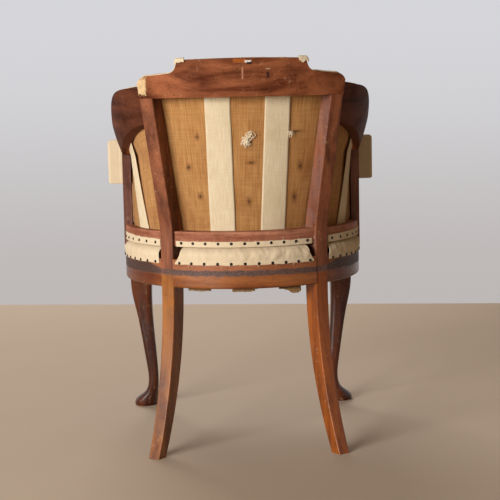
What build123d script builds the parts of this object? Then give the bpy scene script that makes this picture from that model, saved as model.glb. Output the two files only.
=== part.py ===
from build123d import *
import os
from math import ceil, cos, radians, sin, sqrt

os.makedirs("parts", exist_ok=True)

# All sizes are in millimetres. The sitter faces -Y, the back of the chair is +Y.
# Plan sizes are measured from the tub axis, the centre of the half-round back.

# Seat frame: half round at the back, straight sides, slightly bowed front
SEAT_RADIUS = 256.0
SIDE_RUN = 200.0
FRONT_BOW = 8.0
RAIL_THICKNESS = 30.0
RAIL_BOTTOM = 345.0
RAIL_HEIGHT = 58.0
RAIL_EDGE_ROUND = 5.0

# Rear posts: stile and sabre leg in one piece, turned to face the round of the back
POST_BEARING = 38.5
POST_TURN = 30.0
POST_WIDTH = 30.0
POST_DEPTH = 40.0
POST_TOP_DEPTH = 34.0
POST_FOOT_WIDTH = 25.6
POST_FOOT_DEPTH = 29.0
POST_SWEEP = 72.0
POST_LEAN = 62.0
STILE_TOP = 731.0
STILE_BEND_RADIUS = 160.0
POST_EDGE_ROUND = 2.5

# Crest rail: bowed board with a raised middle, coves and rounded ends
CREST_HEIGHT = 75.0
CREST_BOW = 55.0
CREST_CAMBER = 2.0
CREST_TOP_HALF = 127.0
CREST_SHOULDER = 44.0
CREST_SHOULDER_RISE = 3.0
CREST_COVE_WIDTH = 20.0
CREST_COVE_LIP = 4.0
CREST_END_ROUND = 22.0
CREST_EDGE_ROUND = 2.5

# Tacking rails above the seat gap
LOWER_GAP = 27.0
LOWER_RAIL_HEIGHT = 30.0
BACK_LOWER_SETBACK = 9.0
BACK_LOWER_THICKNESS = 30.0
SIDE_LOWER_SETBACK = 2.0

# Wing posts and wings
UPRIGHT_THICKNESS = 18.0
WING_POST_FRONT = 5.0
WING_POST_WIDTH = 30.0
WING_SPRING = 612.0
WING_HEIGHT = 141.0
WING_RUN = 223.0
WING_FLARE_MID = 19.0
WING_FLARE_TOP = 25.0
WING_SETBACK = 2.0

# Arms
ARM_REACH = 185.0
ARM_POST_WIDTH = 35.0
ARM_RAIL_BOTTOM = 548.0
ARM_RAIL_HEIGHT = 29.0
ARM_RAIL_WIDTH = 30.0
ARM_RAIL_OVERHANG = 10.0
ARM_PAD_HEIGHT = 95.0
ARM_PAD_INNER = 12.0
ARM_PAD_OUTER = 22.0
ARM_PAD_FRONT = 12.0
ARM_PAD_ROUND = 8.0

# Front legs: square block at the seat, cabriole below, on a pad foot
LEG_BLOCK = 46.0
ANKLE_HALF = 12.0
FOOT_HALF = 27.5
KNEE_HALF = 25.0

# Upholstery
CLOTH = 1.5
LAYER_FIT = 0.2
STRIP_CLOTH = 1.2
STRIP_FIT = 0.1
BACK_STRAP_WIDTH = 51.0
SIDE_STRAP_WIDTH = 37.0
SIDE_STRAP_FOOT = 97.0
SIDE_STRAP_HEAD = 81.0
SEAT_STRAP_WIDTH = 50.0
SEAT_STRAP_SPACING = 95.0
BACK_PAD_DEPTH = 44.0
BACK_PAD_EDGE = 14.0
SIDE_PAD_DEPTH = 24.0
SEAT_CROWN = 62.0
SEAT_CROWN_RADIUS = 2200.0
SEAT_EDGE_ROUND = 10.0
SEAT_CORNER_ROUND = 26.0
STRIP_WIDTH = 13.0
SPRING_RADIUS = 33.0
SPRING_WIRE = 1.9
SPRING_TURNS = 5.0

# Fastenings
DOWEL_RADIUS = 4.5
DOWEL_LENGTH = 26.0
DOWEL_FIT = 0.1
TACK_HEAD = 3.2
TACK_HEAD_HEIGHT = 1.4
TACK_SHANK = 0.8
TACK_LENGTH = 5.0
TACK_FIT = 0.05
TACK_SPACING = 30.0
BLOCK_HEIGHT = 34.0
BLOCK_LEG = 50.0
BLOCK_RAISE = 6.0
SCREW_RADIUS = 2.2
SCREW_LENGTH = 45.0
SCREW_HEAD = 4.4
SCREW_HEAD_HEIGHT = 3.0
SCREW_TIP_ROOM = 1.0

# Sizes that follow from the ones above
RAIL_TOP = RAIL_BOTTOM + RAIL_HEIGHT
LOWER_BOTTOM = RAIL_TOP + LOWER_GAP
LOWER_TOP = LOWER_BOTTOM + LOWER_RAIL_HEIGHT
LOWER_MIDDLE = (LOWER_BOTTOM + LOWER_TOP) / 2
LEAN_START = LOWER_TOP + 4.0
CREST_TOP = STILE_TOP + CREST_HEIGHT
RAIL_INNER = SEAT_RADIUS - RAIL_THICKNESS
UPRIGHT_INNER = SEAT_RADIUS - UPRIGHT_THICKNESS
BACK_LOWER_OUTER = SEAT_RADIUS - BACK_LOWER_SETBACK
BACK_LOWER_INNER = BACK_LOWER_OUTER - BACK_LOWER_THICKNESS
SIDE_LOWER_OUTER = SEAT_RADIUS - SIDE_LOWER_SETBACK
FRONT_FACE = SIDE_RUN + LEG_BLOCK
LEG_INNER = SEAT_RADIUS - LEG_BLOCK
LEG_MIDDLE = SEAT_RADIUS - LEG_BLOCK / 2
SCREW_INSET = (BLOCK_LEG - LEG_BLOCK + RAIL_THICKNESS) / 2
SCREW_HOLE = 2 * (SCREW_LENGTH + SCREW_TIP_ROOM)
WING_TOP = WING_SPRING + WING_HEIGHT
WING_POST_BACK = WING_POST_FRONT + WING_POST_WIDTH
ARM_RAIL_TOP = ARM_RAIL_BOTTOM + ARM_RAIL_HEIGHT
ARM_OUTER = SEAT_RADIUS + ARM_RAIL_OVERHANG
ARM_INNER = ARM_OUTER - ARM_RAIL_WIDTH
ARM_POST_BACK = ARM_REACH - ARM_POST_WIDTH
PAD_BOTTOM = LOWER_BOTTOM + 2.0
STRAP_BOTTOM = LOWER_BOTTOM + 6.0
HALF_POST = POST_WIDTH / 2
PANEL_LAP = POST_WIDTH / 6


def post_point(out, across):
    """Plan point at the left rear post: out along its facing, across to its outer side."""
    turn = radians(POST_TURN)
    bearing = radians(POST_BEARING)
    x = SEAT_RADIUS * sin(bearing) + out * sin(turn) + across * cos(turn)
    y = SEAT_RADIUS * cos(bearing) + out * cos(turn) - across * sin(turn)
    return (x, y)


def post_at_radius(radius, across):
    """Plan point where a side plane of the left rear post meets a ring of the seat."""
    turn = radians(POST_TURN)
    x, y = post_point(0, across)
    along = x * sin(turn) + y * cos(turn)
    out = -along + sqrt(along * along - (x * x + y * y - radius * radius))
    return post_point(out, across)


def lean(z):
    """How far the outer face of a stile has leaned out at height z."""
    return POST_LEAN * max(z - LEAN_START, 0.0) / (STILE_TOP - LEAN_START)


def stile_depth(z):
    """Depth of a stile at height z."""
    share = min(lean(z) / POST_LEAN, 1.0)
    return POST_DEPTH + (POST_TOP_DEPTH - POST_DEPTH) * share


REAR_REACH = post_point(lean(CREST_TOP - CREST_EDGE_ROUND), 0)[1] + CREST_BOW
FRONT_REACH = FRONT_FACE + FRONT_BOW + STRIP_CLOTH + TACK_HEAD_HEIGHT
AXIS_Y = (FRONT_REACH - REAR_REACH) / 2


def level(z):
    """Plan plane at height z with its origin on the tub axis."""
    return Plane(origin=(0, AXIS_Y, z))


def side_view(x):
    """Upright plane facing +X at x: across is Y from the tub axis, up is Z."""
    return Plane(origin=(x, AXIS_Y, 0), x_dir=(0, 1, 0), z_dir=(1, 0, 0))


def front_view(y):
    """Upright plane facing -Y at y from the tub axis: across is X, up is Z."""
    return Plane(origin=(0, AXIS_Y + y, 0), x_dir=(1, 0, 0), z_dir=(0, -1, 0))


def post_view():
    """Side view of the left rear post: across is its facing, up is Z."""
    turn = radians(POST_TURN)
    x, y = post_point(0, 0)
    return Plane(
        origin=(x, AXIS_Y + y, 0), x_dir=(sin(turn), cos(turn), 0), z_dir=(cos(turn), -sin(turn), 0)
    )


def post_front_view():
    """View of the left rear post along its facing: across is its width, up is Z."""
    turn = radians(POST_TURN)
    x, y = post_point(0, 0)
    return Plane(
        origin=(x, AXIS_Y + y, 0), x_dir=(cos(turn), -sin(turn), 0), z_dir=(-sin(turn), -cos(turn), 0)
    )


def bowed_band(z, outer_end, outer_mid, inner_end, inner_mid):
    """Level face between two bowed lines that run from side to side of the chair."""
    with BuildSketch(level(z)) as band:
        with BuildLine():
            ThreePointArc((-outer_end[0], outer_end[1]), (0, outer_mid), outer_end)
            ThreePointArc((-inner_end[0], inner_end[1]), (0, inner_mid), inner_end)
            Line(outer_end, inner_end)
            Line((-outer_end[0], outer_end[1]), (-inner_end[0], inner_end[1]))
        make_face()
    return band.sketch


def back_mid(z):
    """Y of the back frame's inner face on the centre line at height z."""
    crest_mid = post_point(POST_LEAN, 0)[1] + CREST_BOW - POST_TOP_DEPTH
    share = min(lean(z) / POST_LEAN, 1.0)
    above = max(lean(z) - POST_LEAN, 0.0) * cos(radians(POST_TURN))
    return BACK_LOWER_INNER + (crest_mid - BACK_LOWER_INNER) * share + above


def back_circle(z):
    """Centre and radius of the round that touches the inside of the back frame at height z."""
    end = post_point(lean(z) - stile_depth(z), -HALF_POST)
    bow = back_mid(z) - end[1]
    radius = (end[0] * end[0] + bow * bow) / (2 * bow)
    return (back_mid(z) - radius, radius)


def back_end(z, inset, across):
    """Plan point in front of a stile on the inside round of the back, moved in by the inset."""
    centre, radius = back_circle(z)
    turn = radians(POST_TURN)
    x, y = post_point(0, across)
    y -= centre
    along = x * sin(turn) + y * cos(turn)
    out = -along + sqrt(along * along - (x * x + y * y - (radius - inset) ** 2))
    return post_point(out, across)


def back_band(z, inset, end_depth, mid_depth, across):
    """Level face of something laid on the inside of the back frame."""
    return bowed_band(
        z,
        back_end(z, inset, across),
        back_mid(z) - inset,
        back_end(z, inset + end_depth, across),
        back_mid(z) - inset - mid_depth,
    )


def back_line(z, x):
    """Plan point at x on the inside round of the back at height z."""
    centre, radius = back_circle(z)
    return (x, centre + sqrt(radius * radius - x * x))


def back_strap_band(z, middle):
    """Level face of one upright back strap."""
    left = back_line(z, middle + BACK_STRAP_WIDTH / 2)
    right = back_line(z, middle - BACK_STRAP_WIDTH / 2)
    centre = back_line(z, middle)
    with BuildSketch(level(z)) as band:
        with BuildLine():
            ThreePointArc(left, centre, right)
            ThreePointArc(
                (left[0], left[1] - CLOTH), (centre[0], centre[1] - CLOTH), (right[0], right[1] - CLOTH)
            )
            Line(left, (left[0], left[1] - CLOTH))
            Line(right, (right[0], right[1] - CLOTH))
        make_face()
    return band.sketch


def wing_front(z):
    """Plan point of the front of the left wing's outer face at height z."""
    up = min(max(z - WING_SPRING, 0.0) / WING_HEIGHT, 1.05)
    flare = WING_FLARE_MID * 4 * up * (1 - up) + WING_FLARE_TOP * up * (2 * up - 1)
    return (SEAT_RADIUS + flare, WING_POST_FRONT + 55.0 * up)


def wing_band(z, inset, depth):
    """Level face of something that runs from the left wing post round to the stile."""
    x, y = wing_front(z)
    out = lean(z) - WING_SETBACK - inset
    outer = post_point(out, HALF_POST)
    inner = post_point(out - depth, HALF_POST)
    with BuildSketch(level(z)) as band:
        with BuildLine():
            TangentArc((x - inset, y), outer, tangent=(0, 1))
            TangentArc((x - inset - depth, y), inner, tangent=(0, 1))
            Line((x - inset, y), (x - inset - depth, y))
            Line(outer, inner)
        make_face()
    return band.sketch


def wing_bands(bottom, top, inset, depth):
    """Level faces of a wing piece between two heights."""
    heights = [bottom, LEAN_START] if bottom < WING_SPRING else []
    heights += [WING_SPRING, (WING_SPRING + top) / 2, top]
    return [wing_band(z, inset, depth) for z in heights]


def wing_place(along, up):
    """Side view point on the wing, in shares of its run and its height."""
    return (WING_POST_FRONT + along * WING_RUN, WING_SPRING + up * WING_HEIGHT)


def dowels_at(point, z, direction, spread=(0, 0, 0), count=1):
    """Places of one joint's dowels on the left, centred on the joint face."""
    places = []
    for i in range(count):
        step = i - (count - 1) / 2
        origin = (
            point[0] + spread[0] * step,
            AXIS_Y + point[1] + spread[1] * step,
            z + spread[2] * step,
        )
        places.append(Plane(origin=origin, z_dir=direction).location)
    return places


def ring_tacks(radius, z, first, last):
    """Places of a row of tacks on a ring of the chair, between two bearings in degrees."""
    count = max(ceil(radius * radians(last - first) / TACK_SPACING), 1)
    places = []
    for i in range(count + 1):
        bearing = radians(first + (last - first) * i / count)
        facing = (sin(bearing), cos(bearing), 0)
        origin = (radius * facing[0], AXIS_Y + radius * facing[1], z)
        places.append(Plane(origin=origin, z_dir=facing).location)
    return places


def side_tacks(x, z, first, last):
    """Places of a row of tacks on a straight left side, between two Y from the tub axis."""
    count = max(ceil(abs(last - first) / TACK_SPACING), 1)
    places = []
    for i in range(count + 1):
        y = first + (last - first) * i / count
        places.append(Plane(origin=(x, AXIS_Y + y, z), z_dir=(1, 0, 0)).location)
    return places


def mirrored(piece):
    """The right-hand twin of a left-hand piece."""
    with BuildPart() as twin:
        mirror(piece.part, about=Plane.YZ)
    return twin


def both_sides(places, radius, length):
    """Round pegs at left-hand places and at their right-hand twins."""
    with BuildPart() as pegs:
        with Locations(*places):
            Cylinder(radius, length)
        mirror(pegs.part, about=Plane.YZ)
    return pegs.part


def finish(piece, node):
    """Labels a finished piece and writes it to its own file."""
    piece.part.label = node
    export_step(piece.part, f"parts/{node}.step")


# Directions that belong to the left rear post
TURN = radians(POST_TURN)
POST_ACROSS = (cos(TURN), -sin(TURN), 0)
UP = (0, 0, 1)
BACK = (0, 1, 0)
SIDE = (1, 0, 0)

# Dowel places, left side first; the right side is their mirror image
RAIL_MIDDLE = RAIL_BOTTOM + RAIL_HEIGHT / 2
RAIL_DOWEL_STEP = (0, 0, RAIL_HEIGHT / 2)
rail_mid_radius = SEAT_RADIUS - RAIL_THICKNESS / 2
lower_mid_radius = BACK_LOWER_OUTER - BACK_LOWER_THICKNESS / 2
upright_mid = SEAT_RADIUS - UPRIGHT_THICKNESS / 2
wing_neck = (upright_mid, WING_POST_FRONT + WING_POST_WIDTH / 2)
arm_post_mid = (upright_mid, -ARM_REACH + ARM_POST_WIDTH / 2)
crest_joint = post_point(POST_LEAN - POST_TOP_DEPTH / 2, 0)
wing_joint_low = WING_SPRING + 0.51 * WING_HEIGHT
wing_joint_high = WING_SPRING + 0.70 * WING_HEIGHT
wing_mid_inset = WING_SETBACK + UPRIGHT_THICKNESS / 2

crest_dowels = dowels_at(crest_joint, STILE_TOP, UP, (POST_ACROSS[0] * 14, POST_ACROSS[1] * 14, 0), 2)
back_lower_dowels = dowels_at(post_at_radius(lower_mid_radius, -HALF_POST), LOWER_MIDDLE, POST_ACROSS)
back_seat_dowels = dowels_at(
    post_at_radius(rail_mid_radius, -HALF_POST), RAIL_MIDDLE, POST_ACROSS, RAIL_DOWEL_STEP, 2
)
side_seat_dowels = dowels_at(
    post_at_radius(rail_mid_radius, HALF_POST), RAIL_MIDDLE, POST_ACROSS, RAIL_DOWEL_STEP, 2
)
side_lower_dowels = dowels_at(post_at_radius(upright_mid, HALF_POST), LOWER_MIDDLE, POST_ACROSS)
side_lower_dowels += dowels_at((upright_mid - 3.0, WING_POST_BACK), LOWER_MIDDLE, BACK)
side_leg_dowels = dowels_at((rail_mid_radius, -SIDE_RUN), RAIL_MIDDLE, BACK, RAIL_DOWEL_STEP, 2)
front_leg_dowels = dowels_at(
    (LEG_INNER, -FRONT_FACE + RAIL_THICKNESS / 2), RAIL_MIDDLE, SIDE, RAIL_DOWEL_STEP, 2
)
wing_post_dowels = dowels_at(wing_neck, RAIL_TOP, UP, (0, WING_POST_WIDTH / 2, 0), 2)
wing_neck_dowels = dowels_at(wing_neck, WING_SPRING, UP)
wing_stile_dowels = dowels_at(
    post_point(lean(wing_joint_low) - wing_mid_inset, HALF_POST), wing_joint_low, POST_ACROSS
)
wing_stile_dowels += dowels_at(
    post_point(lean(wing_joint_high) - wing_mid_inset, HALF_POST), wing_joint_high, POST_ACROSS
)
arm_wing_dowels = dowels_at(
    (upright_mid, WING_POST_FRONT), (ARM_RAIL_BOTTOM + ARM_RAIL_TOP) / 2, BACK
)
arm_top_dowels = dowels_at(arm_post_mid, ARM_RAIL_BOTTOM, UP, (0, ARM_POST_WIDTH / 2, 0), 2)
arm_foot_dowels = dowels_at(arm_post_mid, RAIL_TOP, UP, (0, ARM_POST_WIDTH / 2, 0), 2)
arm_lower_back_dowels = dowels_at((upright_mid - 3.0, WING_POST_FRONT), LOWER_MIDDLE, BACK)
arm_lower_front_dowels = dowels_at((upright_mid - 3.0, -ARM_POST_BACK), LOWER_MIDDLE, BACK)
arm_lower_dowels = arm_lower_back_dowels + arm_lower_front_dowels

# Tack places
POST_EDGE = 4.5
back_edge_bearing = POST_BEARING - POST_EDGE * 1.6
seat_strip_z = RAIL_TOP - STRIP_WIDTH / 2
lower_strip_z = LOWER_BOTTOM + STRIP_WIDTH / 2
back_seat_tacks = ring_tacks(
    SEAT_RADIUS + STRIP_CLOTH, seat_strip_z, -back_edge_bearing, back_edge_bearing
)
back_lower_tacks = ring_tacks(
    BACK_LOWER_OUTER + STRIP_CLOTH, lower_strip_z, -back_edge_bearing, back_edge_bearing
)
side_seat_tacks = ring_tacks(
    SEAT_RADIUS + STRIP_CLOTH, seat_strip_z, POST_BEARING + POST_EDGE * 1.6, 86.0
) + side_tacks(SEAT_RADIUS + STRIP_CLOTH, seat_strip_z, -TACK_SPACING / 2, -SIDE_RUN + 8.0)
side_lower_tacks = ring_tacks(
    SIDE_LOWER_OUTER + STRIP_CLOTH, lower_strip_z, POST_BEARING + POST_EDGE * 1.6, 79.0
)
arm_lower_tacks = side_tacks(
    SIDE_LOWER_OUTER + STRIP_CLOTH, lower_strip_z, WING_POST_FRONT - 10.0, -ARM_POST_BACK + 10.0
)
front_tacks = []
front_bow_radius = (LEG_INNER**2 + FRONT_BOW**2) / (2 * FRONT_BOW)
front_tack_count = ceil(2 * LEG_INNER / TACK_SPACING)
for i in range(1, front_tack_count):
    tack_x = LEG_INNER * (2 * i / front_tack_count - 1)
    tack_y = front_bow_radius - FRONT_FACE - FRONT_BOW - sqrt(front_bow_radius**2 - tack_x**2)
    front_tacks.append(
        Plane(
            origin=(tack_x, AXIS_Y + tack_y - STRIP_CLOTH, seat_strip_z),
            z_dir=(tack_x, tack_y - front_bow_radius + FRONT_FACE + FRONT_BOW, 0),
        ).location
    )

BORE = DOWEL_RADIUS + DOWEL_FIT
BORE_LENGTH = DOWEL_LENGTH + 1.0
TACK_BORE = TACK_SHANK + TACK_FIT
TACK_BORE_LENGTH = 2 * (TACK_LENGTH + 0.5)


# Rear post: the sabre leg sweeps back below the seat, the stile leans back above it
with BuildPart() as rear_post_left:
    with BuildSketch(post_view()) as post_side:
        with BuildLine():
            TangentArc((0, RAIL_BOTTOM), (POST_SWEEP, 0), tangent=(0, -1))
            Line((0, RAIL_BOTTOM), (0, LEAN_START))
            Line((0, LEAN_START), (POST_LEAN, STILE_TOP))
            Line((POST_LEAN, STILE_TOP), (POST_LEAN - POST_TOP_DEPTH, STILE_TOP))
            Line((POST_LEAN - POST_TOP_DEPTH, STILE_TOP), (-POST_DEPTH, LEAN_START))
            Line((-POST_DEPTH, LEAN_START), (-POST_DEPTH, RAIL_BOTTOM))
            TangentArc((-POST_DEPTH, RAIL_BOTTOM), (POST_SWEEP - POST_FOOT_DEPTH, 0), tangent=(0, -1))
            Line((POST_SWEEP - POST_FOOT_DEPTH, 0), (POST_SWEEP, 0))
        make_face()
        bends = post_side.vertices().filter_by_position(Axis.Y, LEAN_START - 1, LEAN_START + 1)
        fillet(bends, STILE_BEND_RADIUS)
    extrude(amount=HALF_POST, both=True)
    with BuildSketch(post_front_view()):
        with BuildLine():
            Polyline(
                (-POST_FOOT_WIDTH / 2, 0),
                (POST_FOOT_WIDTH / 2, 0),
                (HALF_POST, RAIL_BOTTOM),
                (HALF_POST, STILE_TOP),
                (-HALF_POST, STILE_TOP),
                (-HALF_POST, RAIL_BOTTOM),
                close=True,
            )
        make_face()
    extrude(amount=POST_SWEEP + POST_DEPTH + 60.0, both=True, mode=Mode.INTERSECT)
    fillet(rear_post_left.edges().filter_by(lambda e: e.length > POST_DEPTH + 5.0), POST_EDGE_ROUND)
    with Locations(
        *crest_dowels, *back_lower_dowels, *back_seat_dowels,
        *side_seat_dowels, *side_lower_dowels[:1], *wing_stile_dowels,
    ):
        Cylinder(BORE, BORE_LENGTH, mode=Mode.SUBTRACT)
finish(rear_post_left, "rear_post_left")
finish(mirrored(rear_post_left), "rear_post_right")


def crest_band(z):
    """Level face of the crest rail's blank at height z."""
    out = lean(z)
    middle = post_point(out, 0)[1] + CREST_BOW
    return bowed_band(
        z,
        post_point(out, HALF_POST),
        middle,
        post_point(out - POST_TOP_DEPTH, HALF_POST),
        middle - POST_TOP_DEPTH,
    )


# Crest rail: bowed blank trimmed to its front outline
crest_shoulder_z = STILE_TOP + CREST_SHOULDER
crest_end = post_point(lean(crest_shoulder_z), HALF_POST)[0]
crest_cove = CREST_TOP_HALF + CREST_COVE_WIDTH
crest_top_edge = CREST_TOP - CREST_CAMBER
cove_foot_z = crest_shoulder_z + CREST_SHOULDER_RISE
cove_head_z = crest_top_edge - CREST_COVE_LIP
with BuildPart() as crest_rail:
    loft([crest_band(STILE_TOP), crest_band(CREST_TOP + 1.0)], ruled=True)
    with BuildSketch(front_view(0)):
        with BuildLine():
            for side in (1, -1):
                Line((0, STILE_TOP), (side * crest_end, STILE_TOP))
                Line((side * crest_end, STILE_TOP), (side * crest_end, crest_shoulder_z - CREST_END_ROUND))
                TangentArc(
                    (side * crest_end, crest_shoulder_z - CREST_END_ROUND),
                    (side * (crest_end - CREST_END_ROUND), crest_shoulder_z),
                    tangent=(0, 1),
                )
                Line((side * (crest_end - CREST_END_ROUND), crest_shoulder_z), (side * crest_cove, cove_foot_z))
                ThreePointArc(
                    (side * crest_cove, cove_foot_z),
                    (
                        side * (crest_cove - 0.70 * CREST_COVE_WIDTH),
                        cove_foot_z + 0.30 * (cove_head_z - cove_foot_z),
                    ),
                    (side * CREST_TOP_HALF, cove_head_z),
                )
                Line((side * CREST_TOP_HALF, cove_head_z), (side * CREST_TOP_HALF, crest_top_edge))
            ThreePointArc((-CREST_TOP_HALF, crest_top_edge), (0, CREST_TOP), (CREST_TOP_HALF, crest_top_edge))
        make_face()
    extrude(amount=REAR_REACH + 50.0, both=True, mode=Mode.INTERSECT)
    top_edges = crest_rail.edges().filter_by_position(Axis.Z, crest_shoulder_z - 1.0, CREST_TOP + 1.0)
    fillet(top_edges.filter_by(lambda e: e.length > CREST_HEIGHT), CREST_EDGE_ROUND)
    add(both_sides(crest_dowels, BORE, BORE_LENGTH), mode=Mode.SUBTRACT)
finish(crest_rail, "crest_rail")


def ring_band(z, outer, inner):
    """Level face of a ring of the back between the two rear posts."""
    return bowed_band(
        z, post_at_radius(outer, -HALF_POST), outer, post_at_radius(inner, -HALF_POST), inner
    )


def side_band(z, outer, inner, front):
    """Level face of a left side piece: round from the rear post, then straight to the front."""
    with BuildSketch(level(z)) as band:
        with BuildLine():
            TangentArc((outer, 0), post_at_radius(outer, HALF_POST), tangent=(0, 1))
            TangentArc((inner, 0), post_at_radius(inner, HALF_POST), tangent=(0, 1))
            Line(post_at_radius(outer, HALF_POST), post_at_radius(inner, HALF_POST))
            Line((outer, 0), (outer, -front))
            Line((inner, 0), (inner, -front))
            Line((outer, -front), (inner, -front))
        make_face()
    return band.sketch


def short_side_band(z, outer, inner):
    """Level face of a left side piece: round from the rear post to the wing post."""
    outer_front = (sqrt(outer**2 - WING_POST_BACK**2), WING_POST_BACK)
    inner_front = (sqrt(inner**2 - WING_POST_BACK**2), WING_POST_BACK)
    outer_mid = (outer * sin(radians(65)), outer * cos(radians(65)))
    inner_mid = (inner * sin(radians(65)), inner * cos(radians(65)))
    with BuildSketch(level(z)) as band:
        with BuildLine():
            ThreePointArc(outer_front, outer_mid, post_at_radius(outer, HALF_POST))
            ThreePointArc(inner_front, inner_mid, post_at_radius(inner, HALF_POST))
            Line(outer_front, inner_front)
            Line(post_at_radius(outer, HALF_POST), post_at_radius(inner, HALF_POST))
        make_face()
    return band.sketch


# Seat rails: back between the rear posts, sides from post to front leg, bowed front
with BuildPart() as back_seat_rail:
    extrude(ring_band(RAIL_BOTTOM, SEAT_RADIUS, RAIL_INNER), RAIL_HEIGHT)
    show_edge = back_seat_rail.edges().filter_by_position(Axis.Z, RAIL_BOTTOM - 0.1, RAIL_BOTTOM + 0.1)
    fillet(show_edge.sort_by(Edge.length)[-1], RAIL_EDGE_ROUND)
    add(both_sides(back_seat_dowels, BORE, BORE_LENGTH), mode=Mode.SUBTRACT)
    with Locations(*back_seat_tacks):
        Cylinder(TACK_BORE, TACK_BORE_LENGTH, mode=Mode.SUBTRACT)
finish(back_seat_rail, "back_seat_rail")

with BuildPart() as side_seat_rail_left:
    extrude(side_band(RAIL_BOTTOM, SEAT_RADIUS, RAIL_INNER, SIDE_RUN), RAIL_HEIGHT)
    show_edges = side_seat_rail_left.edges().filter_by_position(Axis.Z, RAIL_BOTTOM - 0.1, RAIL_BOTTOM + 0.1)
    round_edge = show_edges.filter_by(GeomType.CIRCLE).sort_by(Edge.length)[-1]
    straight_edge = show_edges.filter_by(Axis.Y).sort_by(Axis.X)[-1]
    fillet([round_edge, straight_edge], RAIL_EDGE_ROUND)
    with Locations(*side_seat_dowels, *side_leg_dowels, *wing_post_dowels, *arm_foot_dowels):
        Cylinder(BORE, BORE_LENGTH, mode=Mode.SUBTRACT)
    with Locations(*side_seat_tacks):
        Cylinder(TACK_BORE, TACK_BORE_LENGTH, mode=Mode.SUBTRACT)
finish(side_seat_rail_left, "side_seat_rail_left")
finish(mirrored(side_seat_rail_left), "side_seat_rail_right")

with BuildPart() as front_seat_rail:
    with BuildSketch(level(RAIL_BOTTOM)):
        with BuildLine():
            ThreePointArc((-LEG_INNER, -FRONT_FACE), (0, -FRONT_FACE - FRONT_BOW), (LEG_INNER, -FRONT_FACE))
            Line((LEG_INNER, -FRONT_FACE), (LEG_INNER, -FRONT_FACE + RAIL_THICKNESS))
            Line((LEG_INNER, -FRONT_FACE + RAIL_THICKNESS), (-LEG_INNER, -FRONT_FACE + RAIL_THICKNESS))
            Line((-LEG_INNER, -FRONT_FACE + RAIL_THICKNESS), (-LEG_INNER, -FRONT_FACE))
        make_face()
    extrude(amount=RAIL_HEIGHT)
    add(both_sides(front_leg_dowels, BORE, BORE_LENGTH), mode=Mode.SUBTRACT)
    with Locations(*front_tacks):
        Cylinder(TACK_BORE, TACK_BORE_LENGTH, mode=Mode.SUBTRACT)
finish(front_seat_rail, "front_seat_rail")


def leg_section(share, out, half, roundness):
    """Level face of the left front leg at a share of the seat rail's height."""
    step = out / sqrt(2)
    middle = (LEG_MIDDLE + step, -SIDE_RUN - LEG_BLOCK / 2 - step)
    with BuildSketch(level(share * RAIL_BOTTOM)) as section:
        with Locations(middle):
            RectangleRounded(2 * half, 2 * half, roundness * half)
    return section.sketch


# Front leg: square block, knee, slim ankle and round pad foot, set on the diagonal
screw_place = Plane(
    origin=(
        LEG_INNER - SCREW_INSET,
        AXIS_Y - SIDE_RUN + SCREW_INSET,
        RAIL_BOTTOM + BLOCK_RAISE + BLOCK_HEIGHT / 2,
    ),
    z_dir=(-1, 1, 0),
).location
with BuildPart() as front_leg_left:
    loft(
        [
            leg_section(1.00, 0.0, LEG_BLOCK / 2, 0.12),
            leg_section(0.91, 5.0, KNEE_HALF, 0.30),
            leg_section(0.80, 5.0, 0.94 * KNEE_HALF, 0.45),
            leg_section(0.645, -3.0, 1.54 * ANKLE_HALF, 0.60),
            leg_section(0.46, -14.0, 1.25 * ANKLE_HALF, 0.70),
            leg_section(0.28, -24.0, 1.05 * ANKLE_HALF, 0.85),
            leg_section(0.16, -26.0, ANKLE_HALF, 0.90),
            leg_section(0.105, -20.0, 0.54 * FOOT_HALF, 0.92),
            leg_section(0.07, -10.0, 0.76 * FOOT_HALF, 0.94),
            leg_section(0.042, -2.0, 0.94 * FOOT_HALF, 0.95),
            leg_section(0.018, 1.0, FOOT_HALF, 0.95),
            leg_section(0.0, 1.0, 0.95 * FOOT_HALF, 0.95),
        ]
    )
    with BuildSketch(level(RAIL_BOTTOM)):
        with Locations((LEG_MIDDLE, -SIDE_RUN - LEG_BLOCK / 2)):
            RectangleRounded(LEG_BLOCK, LEG_BLOCK, 0.06 * LEG_BLOCK)
    extrude(amount=RAIL_HEIGHT)
    with Locations(*side_leg_dowels, *front_leg_dowels):
        Cylinder(BORE, BORE_LENGTH, mode=Mode.SUBTRACT)
    with Locations(screw_place):
        Cylinder(SCREW_RADIUS + DOWEL_FIT, SCREW_HOLE, mode=Mode.SUBTRACT)
finish(front_leg_left, "front_leg_left")
finish(mirrored(front_leg_left), "front_leg_right")

# Corner blocks glued and screwed behind the front legs
with BuildPart() as corner_block_left:
    with BuildSketch(level(RAIL_BOTTOM + BLOCK_RAISE)):
        with BuildLine():
            Polyline(
                (RAIL_INNER, -SIDE_RUN),
                (RAIL_INNER, -SIDE_RUN + BLOCK_LEG),
                (LEG_INNER - BLOCK_LEG, -FRONT_FACE + RAIL_THICKNESS),
                (LEG_INNER, -FRONT_FACE + RAIL_THICKNESS),
                (LEG_INNER, -SIDE_RUN),
                close=True,
            )
        make_face()
    extrude(amount=BLOCK_HEIGHT)
    with Locations(screw_place):
        Cylinder(SCREW_RADIUS + DOWEL_FIT, SCREW_HOLE, mode=Mode.SUBTRACT)
with BuildPart() as corner_blocks:
    add(corner_block_left.part)
    mirror(corner_block_left.part, about=Plane.YZ)
finish(corner_blocks, "corner_blocks")

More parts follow.
